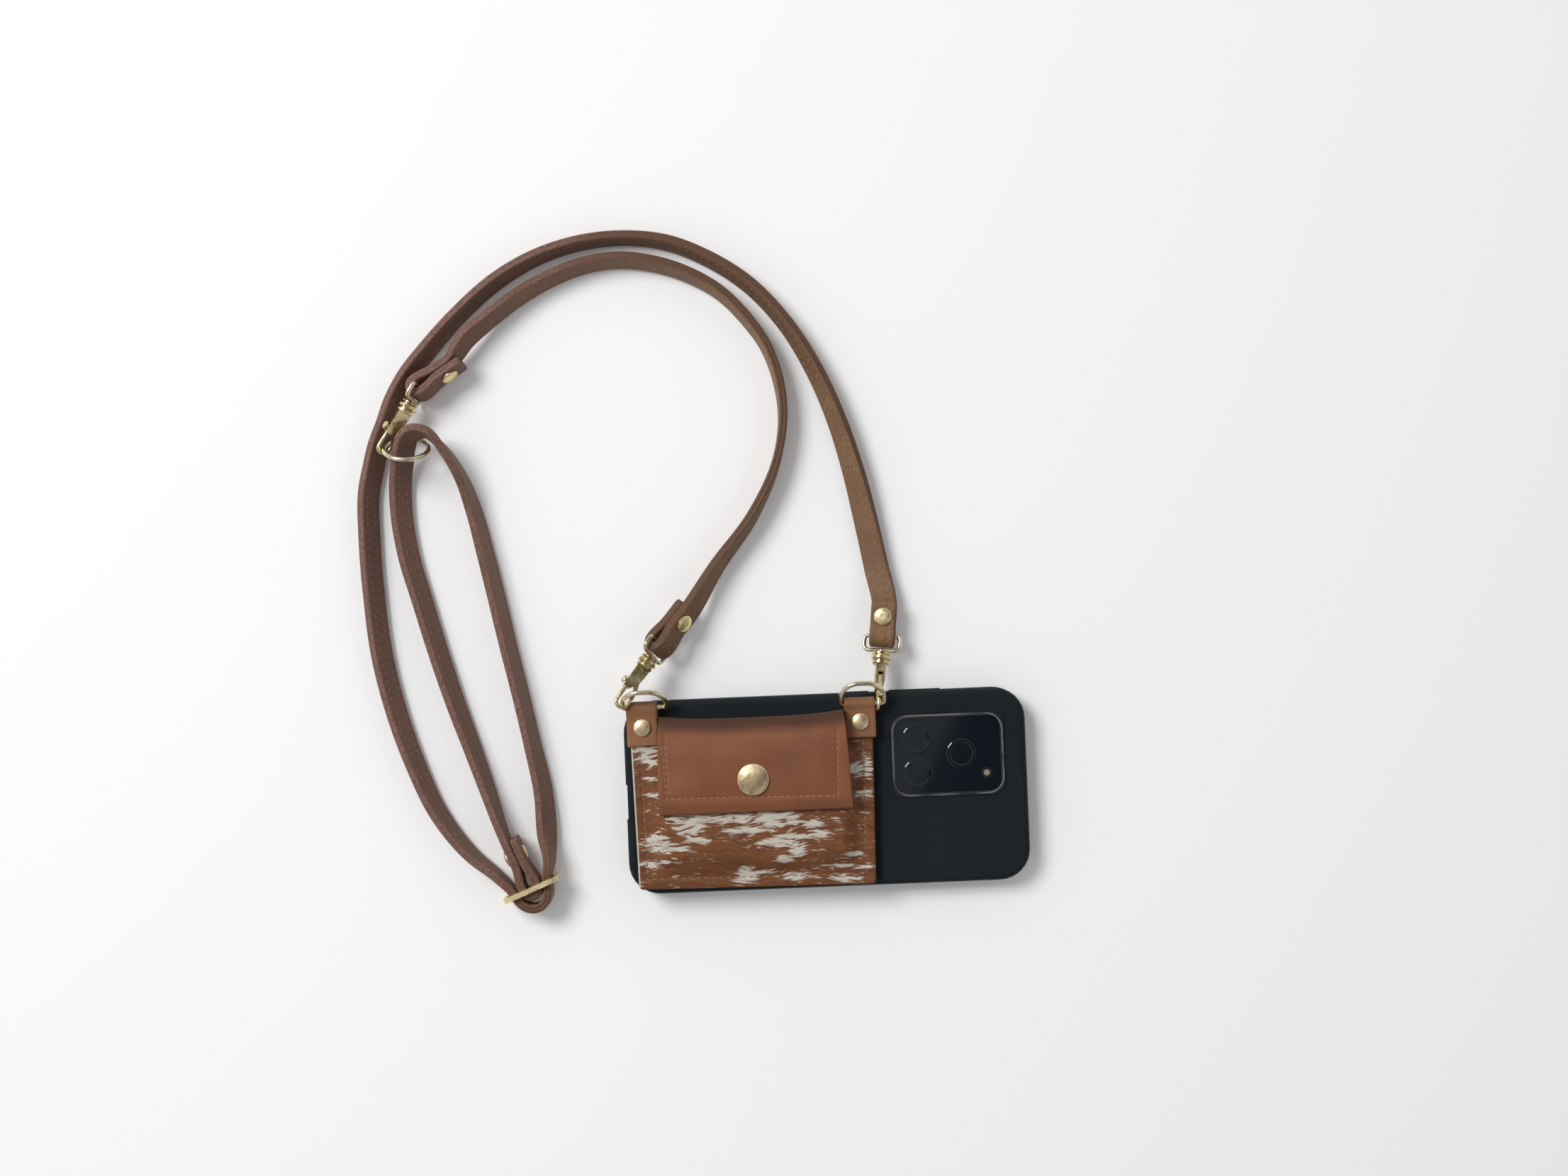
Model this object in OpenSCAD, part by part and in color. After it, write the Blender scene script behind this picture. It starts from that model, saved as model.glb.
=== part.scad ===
// Leather card pouch bonded to a phone case, with a long strap on three snap hooks.
// It lies as photographed: case face down, pouch on its back, the strap in loose loops.
// X runs along the phone toward its cameras, Y toward the strap, Z up from the table.

/* [Phone] */
// Length of the phone
phone_l = 166.7; // [150:0.5:175]
// Width of the phone
phone_w = 77.7; // [70:0.5:84]
// Thickness of the phone
phone_t = 8.6; // [7:0.1:11]
// Corner radius of the phone
phone_r = 11; // [8:0.5:14]
// Thickness of the front glass
glass_t = 0.8; // [0.5:0.1:1.2]
// Length of the camera window along the phone
camera_l = 47.8; // [40:0.2:52]
// Width of the camera window
camera_w = 35; // [28:0.2:38]
// Corner radius of the camera window
camera_r = 5.5; // [4:0.5:8]
// Camera window to the end of the case
camera_end = 9.6; // [7:0.2:14]
// Camera window to the long side of the case
camera_side = 10; // [7:0.2:14]
// Width of the trim round the camera window
trim_w = 1.6; // [1:0.1:2.4]
// Radius of one camera lens
lens_r = 6.4; // [4:0.2:7]

/* [Case] */
// Wall of the case beside the phone
case_wall = 2; // [1.4:0.1:3]
// Back of the case over the phone
case_back = 1.9; // [1.2:0.1:3]
// Lip that keeps the screen off the table
lip_h = 1; // [0.6:0.1:1.6]
// Width of the lip over the screen edge
lip_over = 1.6; // [1:0.1:3]
// Gap between phone and case
phone_gap = 0.15; // [0.05:0.05:0.3]
// Width of the charging port scoop
port_w = 15; // [10:0.5:20]
// Length of the volume key
volume_l = 22; // [16:0.5:28]
// Length of the power key
power_l = 11; // [8:0.5:16]
// Width of the side keys
key_w = 3; // [2:0.1:4]
// Height of a key above the case wall
key_proud = 0.5; // [0.4:0.05:0.8]
// Gap round a side key
key_gap = 0.15; // [0.1:0.05:0.3]

/* [Pouch] */
// Pouch to the camera window
pouch_clear = 7.5; // [6:0.5:20]
// Width of the pouch across the phone
pouch_w = 73.7; // [66:0.5:76]
// Corner radius of the pouch
pouch_r = 4; // [2:0.5:8]
// Pouch to the port end of the case
pouch_end = 3.1; // [2:0.1:6]
// Pouch to the lower long side of the case
pouch_side = 1; // [0.5:0.1:4]
// Thickness of the adhesive pad under the pouch
pad_t = 1.4; // [1.4:0.1:2]
// Thickness of the back leather
back_t = 1.4; // [1:0.1:2]
// Thickness of the front hide
front_t = 1.6; // [1.2:0.1:2]
// Height of the room for cards
pocket_h = 4.4; // [4.3:0.1:7]
// Width of the sewn margin of the pouch
margin_w = 5; // [4:0.5:7]
// Slope of the swollen front, measured in plan
slope_w = 9.4; // [7:0.2:12]
// Pocket mouth to the top edge of the pouch
mouth_in = 8.7; // [6:0.1:12]

/* [Flap and snap] */
// Length of the flap along the phone
flap_l = 81; // [70:0.5:85]
// Reach of the flap down from its fold
flap_w = 40; // [34:0.5:46]
// Thickness of the flap leather
flap_t = 1.5; // [1.2:0.1:2]
// Gap between flap and the edge that it is folded over
flap_gap = 0.35; // [0.3:0.05:0.6]
// Radius of the snap cap
cap_r = 6.75; // [5:0.25:8]
// Height of the snap cap dome
cap_h = 2.2; // [1.5:0.1:3]
// Snap centre to the lower edge of the flap
snap_in = 13.7; // [9:0.1:18]
// Radius of the snap stud nub
nub_r = 2.2; // [1.6:0.1:2.6]
// Height of the snap stud nub
nub_h = 1.5; // [1.2:0.1:2]
// Thickness of the snap socket
socket_t = 1.9; // [1.8:0.1:2.4]

/* [Tabs and D rings] */
// Width of a ring tab
tab_w = 13.2; // [10:0.2:14]
// Thickness of the tab leather
tab_t = 1.4; // [1:0.1:1.4]
// Reach of a tab below the top edge of the pouch
tab_hold = 12; // [10:0.5:16]
// Radius of a tab rivet cap
tab_cap_r = 3.6; // [3:0.1:4.5]
// Diameter of the ring wire
ring_wire = 2; // [1.6:0.1:2.2]
// Width of a D ring between its wire centres
ring_w = 18.6; // [17.6:0.2:22]
// Height of the D rings' bars above the case
ring_lift = 4.4; // [4.2:0.1:6]
// Left D ring bar beyond the pouch
ring_reach_left = 4.9; // [3.5:0.1:6]
// Right D ring bar beyond the pouch
ring_reach_right = 3; // [2.9:0.1:5]
// Tilt of the left D ring up from the table
ring_tilt_left = 50; // [40:1:60]
// Tilt of the right D ring up from the table
ring_tilt_right = 35; // [25:1:45]

/* [Snap hooks] */
// Wire of a hook bow
bow_wire = 1.6; // [1.4:0.1:1.8]
// Radius of a hook bow at the wire centre
bow_r = 2.5; // [2.4:0.1:2.8]
// Thickness of the hook body
body_t = 4; // [3.6:0.1:4.6]
// Width of the hook body at the collar
body_w = 5.8; // [5.4:0.1:6.4]
// Thickness of the trigger lever
lever_t = 1.7; // [1.4:0.1:1.8]
// Radius of the trigger knob
knob_r = 1.9; // [1.5:0.1:2.2]
// Radius of the widest collar ridge
collar_r = 4.1; // [3.8:0.1:4.6]
// Wire of the swivel eye
eye_wire = 1.8; // [1.6:0.1:2]
// Width of the swivel eye between its wire centres
eye_w = 15.2; // [14.6:0.2:17]
// Radius of the swivel stem
stem_r = 1.15; // [0.9:0.05:1.3]
// Running clearance of pins and stems
run_gap = 0.05; // [0.03:0.01:0.08]

/* [Strap] */
// Width of the strap
strap_w = 10.5; // [8:0.1:10.7]
// Thickness of the strap
strap_t = 3.6; // [2.4:0.1:3.6]
// Radius of a rivet cap on the strap
strap_cap_r = 3.8; // [3:0.1:4.2]
// Outer radius of the upper ring
o_ring_r = 10.4; // [10:0.1:12]
// Length of the slider
slider_l = 24.5; // [24:0.1:28]
// Height of the slider
slider_h = 15; // [15:0.1:18]
// Thickness of the slider frame
slider_t = 2; // [1.6:0.1:2.4]
// Radius of the slider's middle bar
slider_bar_r = 1.1; // [0.9:0.05:1.2]

/* [Hidden] */
$fn = 48;
hull_fn = 32;
// One overrun serves every cut
cut = 1;
// A layer thin enough to carry only its outline into a hull
layer = 0.01;

// Case and phone
case_l = phone_l + 2 * (phone_gap + case_wall);
case_w = phone_w + 2 * (phone_gap + case_wall);
case_t = lip_h + phone_t + phone_gap + case_back;
case_r = phone_r + phone_gap + case_wall;
lip_inset = case_wall * 0.4;
edge_inset_shares = [[0, 0.45], [0.13, 0], [0.8, 0], [0.93, 0.35], [1, 1.05]];
key_z = lip_h + phone_t * 0.5;
volume_x = case_l / 2 - camera_end - camera_l + volume_l * 0.5;
power_x = volume_x - volume_l / 2 - power_l - key_w;
key_reach = phone_w / 2 + phone_gap + key_w * 0.1;
camera_at = [case_l / 2 - camera_end - camera_l / 2, case_w / 2 - camera_side - camera_w / 2];
camera_top = case_t + trim_w * 0.4;
plate_top = case_t - case_back * 0.15;
lens_shares = [[-0.27, 0.2], [-0.27, -0.22], [0.12, 0]];
flash_share = [0.34, -0.24];
port_y_share = -0.02;
port_depth = case_wall * 0.45;

// Pouch on the case
pouch_x0 = -case_l / 2 + pouch_end;
pouch_x1 = case_l / 2 - camera_end - camera_l - pouch_clear;
pouch_l = pouch_x1 - pouch_x0;
pouch_y0 = -case_w / 2 + pouch_side;
pouch_y1 = pouch_y0 + pouch_w;
back_z = case_t + pad_t;
pocket_z = back_z + back_t;
front_z = pocket_z + pocket_h;
front_top = front_z + front_t;
margin_top = pocket_z + front_t;
mouth_y = pouch_y1 - mouth_in;

// Tabs and D rings
tab_inset = tab_w * 0.41;
tab_x = [pouch_x0 + tab_inset, pouch_x1 - tab_inset];
ring_x = [for (x = tab_x) x + tab_w * 0.1];
bar_y = [pouch_y1 + ring_reach_left, pouch_y1 + ring_reach_right];
bar_z = case_t + ring_lift;
ring_tilt = [ring_tilt_left, ring_tilt_right];
tab_rivet_in = [tab_hold * 0.27, tab_hold * 0.37];
tab_slack = 0.5;
loop_in = ring_wire / 2 + tab_slack;
loop_out = loop_in + tab_t;
ring_side = ring_w * 0.16;
ring_arc = ring_w * 0.42;
ring_corner = ring_w * 0.08;
ring_depth = ring_side + ring_arc + ring_wire / 2;
// The whole object is centred on its own box, without the strap
ring_far = max([for (i = [0, 1]) bar_y[i] + (ring_side + ring_arc) * cos(ring_tilt[i]) + ring_wire / 2]);
home_y = (ring_far - case_w / 2) / 2;

// Flap and snap
mouth_l = tab_x[1] - tab_x[0] - tab_w - 2 * flap_gap;
spine_l = mouth_l - 4 * flap_gap;
flap_x = (tab_x[0] + tab_x[1]) / 2;
hinge_y = pouch_y1 - flap_t / 2;
hinge_z = front_top + flap_gap + flap_t / 2;
snap_gap = 0.35;
stud_t = 0.5;
flap_low = front_top + stud_t + snap_gap + socket_t;
flap_rise = flap_low + flap_t / 2 - hinge_z;
flap_reach = flap_w - flap_t / 2;
flap_y0 = hinge_y - flap_reach;
snap_at = [flap_x, flap_y0 + snap_in];
rise_share = 0.42;
fall_share = 0.9;
droop_share = 0.5;
post_r = nub_r * 0.5;
flange_t = front_t * 0.4;
web_t = 0.3;

// Hook, measured along its axis from the ring that it holds, gate side +Y
bow_x = 0.4;
bow_y = 0.8;
body_x = 6.5;
tip_x = 2.6;
gate_gap = 0.3;
pivot = [12, 0.5];
pin_r = 0.5;
hub_r = 1.5;
slot_gap = 0.15;
slot_end = 14;
web_y = -0.6;
floor_y = -1.9;
web_end = 7.7;
stem_window = [7.9, 10.95];
knob_x = 9;
knob_y = -3.7;
knob_h = 1.2;
knob_stem = 1.5;
spring_y = -0.6;
spring_r = 0.72;
spring_wire = 0.34;
spring_turns = 3;
spring_from = 13.55;
spring_to = 16.2;
spring_bore_r = 1.1;
collar_x = 17.5;
collar_l = 5.3;
head_x = 18.2;
head_t = 1.4;
head_over = 0.7;
head_r = stem_r + head_over;
head_gap = 0.3;
eye_play = 0.2;
eye_foot = collar_x + collar_l + eye_play + eye_wire / 2;
eye_rise = 6.2;
eye_bar = eye_foot + eye_rise;
eye_low_r = 2.4;
eye_top_r = 1.6;

// Strap
strap_gap = 0.2;
half_w = strap_w / 2;
half_t = strap_t / 2;
strap_edge = 0.7;
fold_play = 0.4;
fold_r = half_t + eye_wire / 2 + fold_play;
layer_gap = 0.3;
rivet_stem_r = 1.2;
rivet_fit = 0.02;
rivet_rise = 1.4;

// Upper ring and slider
o_ring_at = [-172.7, 152.6, 12.3];
o_ring_turn = -5;
o_ring_tilt = 58;
o_ring_c = o_ring_r - ring_wire / 2;
slider_at = [-127.6, -36.7];
slider_turn = 21.8;
slider_a = [cos(slider_turn), sin(slider_turn), 0];
slider_n = [-sin(slider_turn), cos(slider_turn), 0];
slider_deep = 2.2;
slider_z = strap_gap + slider_h / 2;
slider_loop_r = half_t + slider_bar_r + layer_gap;
slider_bight_r = slider_loop_r + strap_t + fold_play;
bight_share = 1.2;

// Each hook: what it holds, turn, dip, roll, slack on the ring,
// then the strap's fold on its eye: turn, dip, roll, rivet and tail from the bar
CATCH = 0;
TURN = 1;
DIP = 2;
ROLL = 3;
SLACK = 4;
FOLD_TURN = 5;
FOLD_DIP = 6;
FOLD_ROLL = 7;
RIVET = 8;
TAIL = 9;
catch_angle = 20;
catch_left = [
  ring_x[0] - (ring_w / 2 - ring_arc) - ring_arc * cos(catch_angle),
  bar_y[0] + (ring_side + ring_arc * sin(catch_angle)) * cos(ring_tilt[0]),
  bar_z + (ring_side + ring_arc * sin(catch_angle)) * sin(ring_tilt[0])
];
catch_right = [ring_x[1] + ring_w * 0.353, bar_y[1], bar_z];
catch_upper = o_ring_at - o_ring_c * [cos(o_ring_turn), sin(o_ring_turn), 0];
LEFT = [catch_left, 53.5, 16.5, 188, 0.8, 50, 9, -130, 13, 20];
RIGHT = [catch_right, 83, 16, 94, 0.6, 84, 0, -8, 8.5, 15];
UPPER = [catch_upper, 57, 7, 208, 0.35, 33, 0, 75, 13.4, 21.4];

// Unit vectors of a frame that is turned, dipped and rolled: along, left, up
function frame(turn, dip, roll) =
  let (l = [-sin(turn), cos(turn), 0], u = [cos(turn) * sin(dip), sin(turn) * sin(dip), cos(dip)])
  [
    [cos(turn) * cos(dip), sin(turn) * cos(dip), -sin(dip)],
    cos(roll) * l + sin(roll) * u,
    -sin(roll) * l + cos(roll) * u
  ];
function hook_origin(h) =
  let (f = frame(h[TURN], h[DIP], h[ROLL])) h[CATCH] - h[SLACK] * f[0] - bow_y * f[1];
function eye_at(h) = hook_origin(h) + eye_bar * frame(h[TURN], h[DIP], 0)[0];
function fold_frame(h) = frame(h[FOLD_TURN], h[FOLD_DIP], h[FOLD_ROLL]);
// The eye is rolled until its bar lies along the strap's width
function eye_roll(h) =
  let (f = frame(h[TURN], h[DIP], 0), w = fold_frame(h)[1]) atan2(w * f[2], w * f[1]);

// Route points: place in plan, lean of the face from flat, lift above the table
short_route = [
  [-42.7, 97.7, 112, 1.2], [-26.8, 118.5, 100, 0.2], [-15.3, 142.9, 90, 0],
  [-12.2, 162, 86, 0], [-13.8, 177.1, 82, 0], [-18.8, 191.6, 80, 0], [-26.3, 202.9, 78, 0],
  [-37.4, 214.7, 76, 0], [-49.8, 222.4, 74, 0], [-65.3, 228, 72, 0], [-79.9, 230, 71, 0],
  [-94.7, 228.4, 70, 0], [-109.4, 223.4, 69, 0], [-124.4, 215.3, 67, 0.6],
  [-136.4, 206.5, 64, 2], [-146.3, 198.1, 62, 3.6]
];
long_route = [
  [25.2, 94.4, 20, 0], [21.9, 112.4, 30, 0], [16.8, 136.7, 45, 0], [10.7, 158.2, 55, 0],
  [2.2, 179.5, 62, 0], [-9.9, 200.5, 68, 0], [-24.8, 217.5, 70, 0], [-41.9, 229.4, 73, 0],
  [-58.7, 236.7, 75, 0], [-76.6, 239.4, 77, 0], [-94.7, 238.3, 76, 0], [-112.8, 233.5, 74, 0],
  [-130.8, 224.3, 70, 0], [-149.4, 209.2, 68, 0], [-161.8, 196.3, 64, 0], [-173, 182.8, 61, 0], [-178.2, 173.4, 58, 0],
  [-181.9, 163.7, 56, 0], [-185.6, 154.8, 56, 0], [-188.2, 145.5, 56, 0], [-190.4, 136, 56, 0],
  [-191.1, 115.3, 56, 0], [-190.2, 91.4, 56, 0], [-187.6, 64.2, 56, 0], [-182.3, 39.8, 58, 0],
  [-175.5, 18.4, 62, 0], [-165.9, -4, 68, 0], [-152.3, -22.2, 78, 0.8], [-142, -31, 86, 1.8]
];
return_route = [
  [-119.6, -26, 96, 2.2], [-120.2, -14.5, 120, 1], [-121.1, 3.2, 118, 0], [-124.9, 24.2, 112, 0],
  [-129.1, 45.7, 111, 0], [-133.6, 67, 112, 0], [-137.8, 88.3, 113, 0], [-141.6, 106.5, 112, 0],
  [-145.8, 124.9, 108, 0], [-151, 140.8, 98, 2.6], [-158, 152.8, 88, 6],
  [-164.3, 159.2, 76, 8.6], [-170.6, 158.6, 62, 9], [-173.8, 152.6, 50, 6.4],
  [-175.4, 146.4, 47, 3], [-176.6, 140.5, 50, 1], [-177, 126.8, 52, 0],
  [-174.8, 108.5, 55, 0], [-169.4, 87.3, 58, 0], [-163.7, 65.8, 60, 0], [-157.4, 44.3, 63, 0],
  [-150.4, 23, 68, 0], [-143.6, 1.8, 76, 0.6], [-139.8, -10.4, 84, 1.6]
];

// Station of the strap: centre, face normal and width direction
function lift_of(lean, lift) = strap_gap + lift + half_w * abs(sin(lean)) + half_t * abs(cos(lean));
function flat(v) = let (n = norm([v.x, v.y])) [v.x / n, v.y / n, 0];
function left_of(t) = [-t.y, t.x, 0];
function stand(p, t, lean) =
  let (l = left_of(t))
  [p, sin(lean) * l + [0, 0, cos(lean)], cos(lean) * l - [0, 0, sin(lean)]];
function on_route(r, before, after) = [for (i = [0:len(r) - 1])
  let (a = i == 0 ? before : r[i - 1], b = i == len(r) - 1 ? after : r[i + 1])
  stand([r[i].x, r[i].y, lift_of(r[i][2], r[i][3])], flat([b.x - a.x, b.y - a.y]), r[i][2])];

// Fold round a bar at e, lying along w, with the tail on the n side; d points to the bar.
// The two layers close up before the rivet and stay parallel past its cap.
function spread(s, rivet_s) =
  let (near = rivet_s - strap_cap_r - layer_gap, close = half_t + layer_gap / 2)
  fold_r + (close - fold_r) * min(1, s / near);
function fold(e, d, n, w, r) = [for (a = [0:22.5:180])
  let (m = cos(a) * n - sin(a) * d) [e - r * m, m, w]];
function leg(e, d, n, w, side, rivet_s, ends) = [for (s = ends)
  [e - s * d + side * spread(s, rivet_s) * n, -side * n, w]];
function under_cap(rivet_s) = [rivet_s - strap_cap_r - layer_gap, rivet_s + strap_cap_r + layer_gap];
function back_to_front(list) = [for (i = [len(list) - 1:-1:0]) list[i]];
function hook_end(h) =
  let (f = fold_frame(h), e = eye_at(h), d = -f[0], caps = under_cap(h[RIVET]))
  concat(
    back_to_front(leg(e, d, f[2], f[1], -1, h[RIVET], caps)),
    fold(e, d, f[2], f[1], fold_r),
    leg(e, d, f[2], f[1], 1, h[RIVET], [caps[0], caps[1], max(h[TAIL], caps[1] + layer_gap)])
  );
function turned(list) = [for (s = list) [s[0], s[1], -s[2]]];

short_start = back_to_front(hook_end(LEFT));
short_end = turned(hook_end(UPPER));
long_start = back_to_front(hook_end(RIGHT));
short_stations = concat(
  short_start, on_route(short_route, short_start[len(short_start) - 1][0], short_end[0][0]), short_end
);

// Slider: the long strap's bight goes round its own end, which is looped on the middle bar
slider_c = [slider_at.x, slider_at.y, slider_z];
function round_slider(r, low) = [for (a = [0:22.5:180])
  [
    slider_c - r * (cos(a) * slider_a + low * sin(a) * slider_n),
    cos(a) * slider_a + sin(a) * slider_n,
    [0, 0, -1]
  ]];
slider_bight = round_slider(slider_bight_r, bight_share);
slider_loop = round_slider(slider_loop_r, 1);
slider_rivet_s = 15.6;
slider_tail_l = 23;
function slider_leg(side, ends) = leg(slider_c, -slider_n, slider_a, [0, 0, -1], side, slider_rivet_s, ends);
slider_caps = under_cap(slider_rivet_s);
slider_tail = slider_leg(1, [slider_caps[0], slider_caps[1], slider_tail_l]);
slider_lead = back_to_front(slider_leg(-1, slider_caps));
long_stations = concat(
  long_start,
  on_route(long_route, long_start[len(long_start) - 1][0], slider_bight[0][0]),
  slider_bight,
  on_route(return_route, slider_bight[len(slider_bight) - 1][0], slider_lead[0][0]),
  slider_lead, slider_loop, slider_tail
);

module home() { translate([0, -home_y, 0]) children(); }

// Flat outlines with true arcs at the corners
module tile(l, w, r) {
  square([l - 2 * r, w], center = true);
  square([l, w - 2 * r], center = true);
  for (x = [-1, 1], y = [-1, 1]) translate([x * (l / 2 - r), y * (w / 2 - r)]) circle(r);
}
module slab(l, w, r, h) { linear_extrude(h) tile(l, w, r); }
module pill(l, w, h) { linear_extrude(h) tile(l, w, w / 2 - layer); }

// Straight length of wire along X
module rod(l, r) { rotate([0, 90, 0]) cylinder(h = l, r = r); }
// Bent wire: quarter or half turn in the XY plane, from the +X axis
module bend(r, wire_r, angle) { rotate_extrude(angle = angle) translate([r, 0]) circle(wire_r); }

module case_form() {
  hull() for (s = edge_inset_shares)
    translate([0, 0, lip_inset + (case_t - lip_inset) * s[0] - layer * s[0]])
      linear_extrude(layer)
        tile(case_l - 2 * case_wall * s[1], case_w - 2 * case_wall * s[1], case_r - case_wall * s[1], $fn = hull_fn);
}
module key_cut(x, l) {
  translate([x, phone_w / 2, key_z]) rotate([-90, 0, 0])
    pill(l + 2 * key_gap, key_w + 2 * key_gap, case_wall + phone_gap + cut);
}
module phone_case() {
  color("#1d2026") home() difference() {
    union() {
      case_form();
      slab(case_l - 2 * lip_inset, case_w - 2 * lip_inset, case_r - lip_inset, lip_h);
    }
    translate([0, 0, lip_h])
      slab(phone_l + 2 * phone_gap, phone_w + 2 * phone_gap, phone_r + phone_gap, phone_t + phone_gap);
    translate([0, 0, -cut])
      slab(phone_l - 2 * lip_over, phone_w - 2 * lip_over, phone_r - lip_over, lip_h + 2 * cut);
    translate([camera_at.x, camera_at.y, lip_h + phone_t])
      slab(camera_l + 2 * run_gap, camera_w + 2 * run_gap, camera_r + run_gap, case_t);
    translate([-case_l / 2 + port_depth / 2 - cut / 2, case_w * port_y_share, lip_h + phone_t * 0.15])
      linear_extrude(case_t) square([port_depth + cut, port_w], center = true);
    translate([-case_l / 2 - cut, case_w * port_y_share, key_z]) rotate([90, 0, 90])
      pill(port_w * 0.9, phone_t * 0.55, case_wall + phone_gap + 2 * cut);
    key_cut(volume_x, volume_l);
    key_cut(power_x, power_l);
  }
}
module phone_frame() {
  color("#3a3d42") home() translate([0, 0, lip_h + glass_t])
    slab(phone_l, phone_w, phone_r, phone_t - glass_t);
}
module screen_glass() {
  color("#0b0c0e") home() translate([0, 0, lip_h]) slab(phone_l, phone_w, phone_r, glass_t);
}
module in_camera(z) { translate([camera_at.x, camera_at.y, z]) children(); }
module camera_trim() {
  color("#a9adb3") home() in_camera(lip_h + phone_t) difference() {
    slab(camera_l, camera_w, camera_r, camera_top - lip_h - phone_t);
    translate([0, 0, -cut])
      slab(camera_l - 2 * trim_w, camera_w - 2 * trim_w, camera_r - trim_w, case_t);
  }
}
module camera_plate() {
  color("#15171b") home() in_camera(lip_h + phone_t)
    slab(
      camera_l - 2 * (trim_w + run_gap), camera_w - 2 * (trim_w + run_gap),
      camera_r - trim_w - run_gap, plate_top - lip_h - phone_t
    );
}
module lens() {
  rotate_extrude() polygon([
    [0, 0], [lens_r, 0], [lens_r, trim_w * 0.25], [lens_r * 0.93, trim_w * 0.4], [lens_r * 0.8, trim_w * 0.4],
    [lens_r * 0.72, trim_w * 0.15], [0, trim_w * 0.15]
  ]);
}
module camera_lenses() {
  color("#0d0f14") home() in_camera(plate_top)
    for (s = lens_shares) translate([s.x * camera_l, s.y * camera_w]) lens();
}
module flash_lens() {
  color("#d8d3c4") home() in_camera(plate_top)
    translate([flash_share.x * camera_l, flash_share.y * camera_w])
      cylinder(h = trim_w * 0.2, r = lens_r * 0.4);
}
module side_key(x, l) {
  color("#23262d") home() translate([x, key_reach + key_w * 0.05, key_z]) rotate([-90, 0, 0])
    pill(l, key_w, case_w / 2 + key_proud - key_reach - key_w * 0.05);
}
module volume_key() { side_key(volume_x, volume_l); }
module power_key() { side_key(power_x, power_l); }

// Pouch
module pouch_outline(l, w, r) {
  translate([(pouch_x0 + pouch_x1) / 2, (pouch_y0 + pouch_y1) / 2]) tile(l, w, r);
}
module span_x(x0, x1, y0, y1, z0, z1) { translate([x0, y0, z0]) cube([x1 - x0, y1 - y0, z1 - z0]); }
module tab_slots() {
  for (i = [0, 1])
    span_x(
      tab_x[i] - tab_w / 2 - flap_gap, tab_x[i] + tab_w / 2 + flap_gap,
      pouch_y1 - tab_hold - flap_gap, pouch_y1 + cut, case_t - cut, back_z + cut
    );
}
module adhesive_pad() {
  color("#c9c6bd") home() difference() {
    translate([0, 0, case_t])
      linear_extrude(pad_t) pouch_outline(pouch_l - margin_w, pouch_w - margin_w, pouch_r);
    tab_slots();
  }
}
module tab_rivet_holes() {
  for (i = [0, 1]) translate([tab_x[i], pouch_y1 - tab_rivet_in[i], case_t])
    cylinder(h = case_t, r = rivet_stem_r + rivet_fit);
}
module pouch_back() {
  color("#8c5a36") home() difference() {
    union() {
      translate([0, 0, back_z]) linear_extrude(back_t) pouch_outline(pouch_l, pouch_w, pouch_r);
      span_x(flap_x - spine_l / 2, flap_x + spine_l / 2, pouch_y1 - flap_t, pouch_y1, back_z, front_top);
    }
    tab_rivet_holes();
  }
}
// Swollen middle of the front: sloping sides, then straight up to the mouth
module swell(side, top_side, z0, z1, past) {
  x0 = pouch_x0 + side;
  x1 = pouch_x1 - side;
  y0 = pouch_y0 + side;
  tx0 = pouch_x0 + top_side;
  tx1 = pouch_x1 - top_side;
  ty0 = pouch_y0 + top_side;
  low_y = pouch_y1 - tab_hold - flap_gap;
  hull() {
    span_x(x0, x1, y0, low_y, z0, z0 + layer);
    span_x(tx0, tx1, ty0, low_y, z1 - layer, z1);
  }
  span_x(tx0, tx1, low_y - layer, mouth_y + past, z0, z1);
}
module pouch_front() {
  color("#7a4a2e") home() difference() {
    union() {
      difference() {
        translate([0, 0, pocket_z]) linear_extrude(front_t) pouch_outline(pouch_l, pouch_w, pouch_r);
        span_x(flap_x - mouth_l / 2, flap_x + mouth_l / 2, mouth_y, pouch_y1 + cut, pocket_z - cut, front_z);
      }
      swell(margin_w, margin_w + slope_w, margin_top - layer, front_top, 0);
    }
    swell(margin_w + front_t, margin_w + slope_w + front_t, pocket_z - layer, front_z, cut);
    tab_rivet_holes();
    translate([snap_at.x, snap_at.y, front_z - cut]) cylinder(h = front_t + 2 * cut, r = post_r + rivet_fit);
    translate([snap_at.x, snap_at.y, front_z - cut]) cylinder(h = flange_t + cut, r = nub_r * 2 + rivet_fit);
  }
}

// Flap: a folded strip, seen from the side as one even thickness on a smooth line
function ease(t) = (1 - cos(180 * max(0, min(1, t)))) / 2;
function flap_line(t) =
  hinge_z + flap_rise * (ease(t / rise_share) - droop_share * ease((t - fall_share) / (1 - fall_share)));
flap_samples = 24;
function flap_side(side) = [for (i = [0:flap_samples])
  let (t = i / flap_samples) [hinge_y - flap_reach * t, flap_line(t) + side * flap_t / 2]];
module flap() {
  color("#8e5128") home() difference() {
    translate([flap_x - flap_l / 2, 0, 0]) rotate([90, 0, 90]) linear_extrude(flap_l) {
      polygon(concat(flap_side(1), back_to_front(flap_side(-1))));
      translate([hinge_y, hinge_z]) circle(flap_t / 2);
    }
    translate([snap_at.x, snap_at.y, front_top]) cylinder(h = case_t, r = post_r + rivet_fit);
  }
}
module at_snap(z) { translate([snap_at.x, snap_at.y, z]) children(); }
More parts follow.
